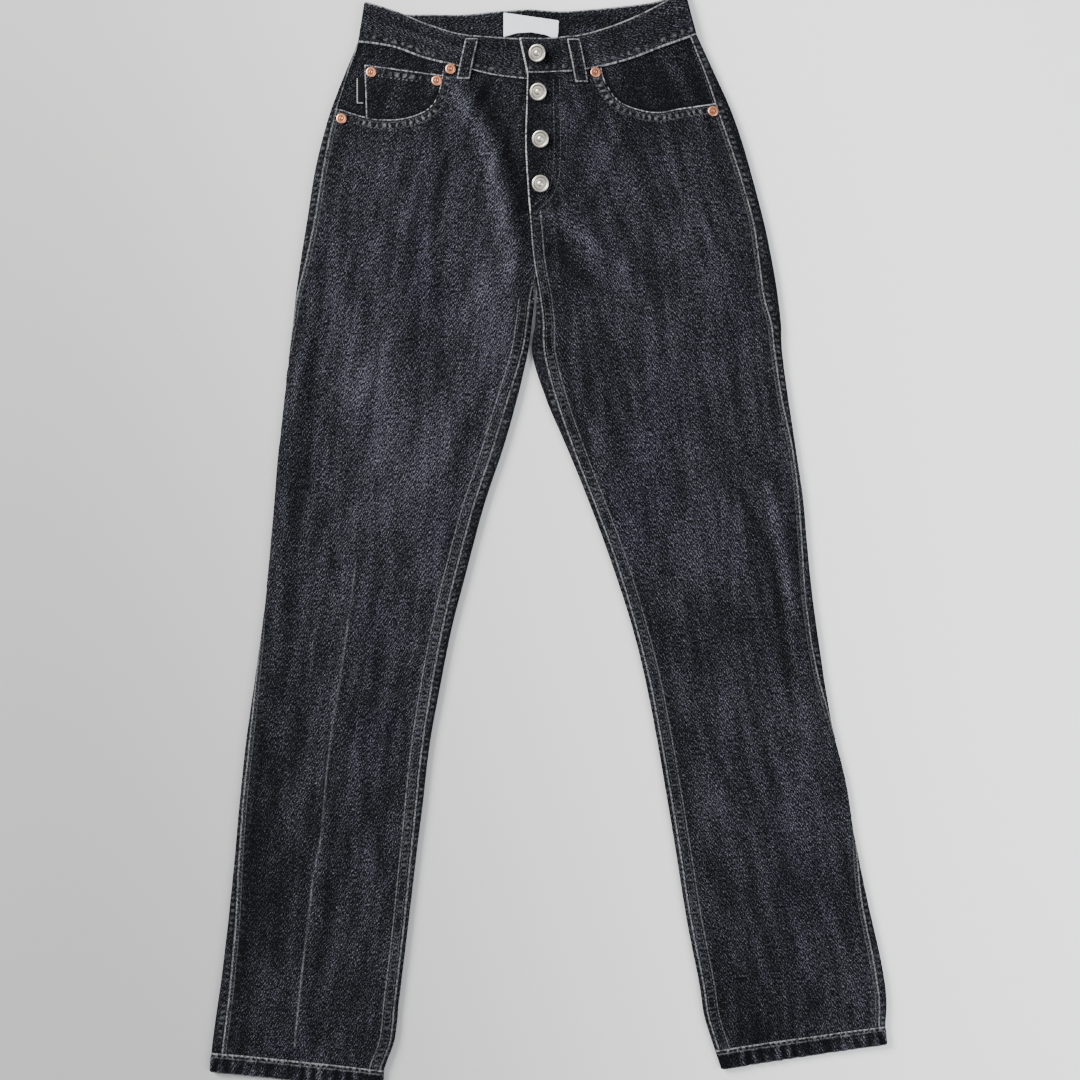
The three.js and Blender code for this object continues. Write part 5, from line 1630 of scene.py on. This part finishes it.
# Rows of radius, height and grime, from the underside to the middle of the top
CAP = [
    (2.2, 0.0, 0.6), (2.2, 0.35, 0.6), (7.4, 0.3, 0.5), (8.0, 0.5, 0.3), (8.3, 1.0, 0.1),
    (8.25, 1.7, 0.0), (7.9, 2.35, 0.0), (7.4, 2.75, 0.0), (6.9, 2.9, 0.0), (6.4, 2.75, 0.2),
    (6.05, 2.35, 0.9), (5.7, 2.15, 0.8), (5.0, 2.2, 0.35), (4.2, 2.3, 0.2), (3.4, 2.3, 0.3),
    (2.9, 2.15, 0.8), (2.5, 2.25, 0.6), (2.1, 2.6, 0.2), (1.4, 2.85, 0.05), (0.7, 2.95, 0.0),
    (0.15, 3.0, 0.0),
]
BURR = [
    (4.5, 0.0, 0.7), (4.8, 0.35, 0.3), (4.7, 0.8, 0.0), (4.2, 1.1, 0.0), (3.5, 1.15, 0.2),
    (2.8, 1.0, 0.5), (2.2, 0.9, 0.9), (1.7, 1.05, 0.7), (1.45, 1.5, 0.2), (1.1, 1.85, 0.1),
    (0.7, 1.7, 0.6), (0.15, 1.55, 0.9),
]
RIVETS = {"pocket_right_top": (-76, 234), "pocket_right_side": (-179, 187), "coin_side": (-151, 231),
          "coin_middle": (-89, 223), "pocket_left_top": (61, 231), "pocket_left_side": (172, 194)}


def metal_recipe(clean, worn, dirt, rough):
    """Metal that is clean, worn in clouds, and dirty where the grime lies."""

    def recipe(g):
        grain = g.read("grain", True)
        cloud = g.cloud(g.times(grain, (0.45, 0.45, 0.45)), 3.0, 0.6)
        specks = g.math("SUBTRACT", g.cloud(g.times(grain, (2.2, 2.2, 2.2)), 2.0, 0.6), 0.5)
        colour = g.mix(g.ease(cloud, 0.35, 0.7), clean, worn)
        stain = g.math("MULTIPLY_ADD", g.read("grime"), 0.9, specks, clamp=True)
        colour = g.mix(g.math("MULTIPLY", stain, 0.85), colour, dirt)
        roughness = g.math("MULTIPLY_ADD", cloud, 0.3, rough)
        return {"Base Color": colour, "Metallic": 1.0, "Roughness": roughness}

    return recipe


nickel = material("aged nickel", metal_recipe(
    clean=(0.62, 0.59, 0.52, 1), worn=(0.44, 0.41, 0.35, 1), dirt=(0.05, 0.043, 0.034, 1), rough=0.26))
copper = material("dull copper", metal_recipe(
    clean=(0.68, 0.30, 0.17, 1), worn=(0.50, 0.21, 0.12, 1), dirt=(0.08, 0.03, 0.018, 1), rough=0.28))
BUTTON_TILT = {"waist": 22, "fly_1": 20, "fly_2": 17, "fly_3": 6}  # degrees
POST_RADIUS, TILT_LIFT = 2.2, 0.6  # millimetres, and the share of its tilt that lifts a cap
for name, (x, y) in BUTTONS.items():
    node_low, node_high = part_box(f"button_{name}")
    seat = node_high[2] / MM - CAP_HEIGHT
    post = seat - node_low[2] / MM
    profile = [(POST_RADIUS, -post, 0.6)] + CAP
    lift = CAP_RADIUS * math.sin(math.radians(BUTTON_TILT[name])) * TILT_LIFT
    button = turned(f"button_{name}_cap", profile, (x, y, seat + lift), BUTTON_TILT[name])
    dress(button, [f"button_{name}"], nickel)
for name, (x, y) in RIVETS.items():
    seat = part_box(f"rivet_{name}")[0][2] / MM
    dress(turned(f"rivet_{name}_burr", BURR, (x, y, seat)), [f"rivet_{name}"], copper)
print("buttons", len(BUTTONS), "rivets", len(RIVETS))

# %% [markdown]
# ## The cut of each sheet
# The size of the flat piece that each piece of cloth was cut from is printed with its area. Its area is what
# the laid cloth measures, because denim hardly stretches.
# %% Sheets
def declare(name, width, length):
    """Prints a laid sheet's cut size and its area; half of a shell's faces lie on its outer side."""
    mesh = pieces[name].data
    area = sum(polygon.area for polygon in mesh.polygons) / 2
    area = min(area, width * length)
    print(name, "cut", width, "x", length, "m, area", round(area, 4))


for side in SIDES:
    declare(f"front_{side}", 0.25, 1.0)
    declare(f"back_{side}", 0.30, 1.0)
    declare(f"yoke_{side}_cloth", 0.19, 0.09)
    declare(f"facing_{side}", 0.13, 0.10)
    declare(f"hem_{side}_cloth", 0.36, 0.022)
    declare(f"back_pocket_{side}_cloth", 0.15, 0.15)
declare("coin_pocket_cloth", 0.08, 0.06)
declare("fly_placket_cloth", 0.03, 0.13)
declare("waistband_cloth", 0.72, 0.04)

# %% [markdown]
# ## The floor
# A plain pale surface with a little unevenness in its tone. The lamp lights the window's side more than the
# photograph's daylight does, so the colour is darker on that side and evens it out.
# %% Floor
FLOOR_SIZE, FLOOR_DROP = 6, 0.0002  # metres


def floor_recipe(g):
    """Pale paper, darker towards the window."""
    place = g.add("TexCoord", out=3)
    across = g.math("MULTIPLY_ADD", g.add("SeparateXYZ", place, out=1), 0.22, g.add("SeparateXYZ", place))
    cloud = g.cloud(g.times(place, (2.2, 0.8, 1)), 3.0, 0.5, 1.6)
    paper = g.mix(cloud, (0.86, 0.86, 0.86, 1), (0.90, 0.90, 0.895, 1))
    colour = g.mix(g.ease(across, 0.50, -0.55), paper, (0.335, 0.335, 0.337, 1))
    return {"Base Color": colour, "Roughness": 0.6}


bpy.ops.mesh.primitive_plane_add(size=FLOOR_SIZE, location=(0, 0, -FLOOR_DROP))
ground = bpy.context.object
ground.name = "floor"
ground.data.materials.append(material("pale floor", floor_recipe))
print("floor", FLOOR_SIZE, "m wide")
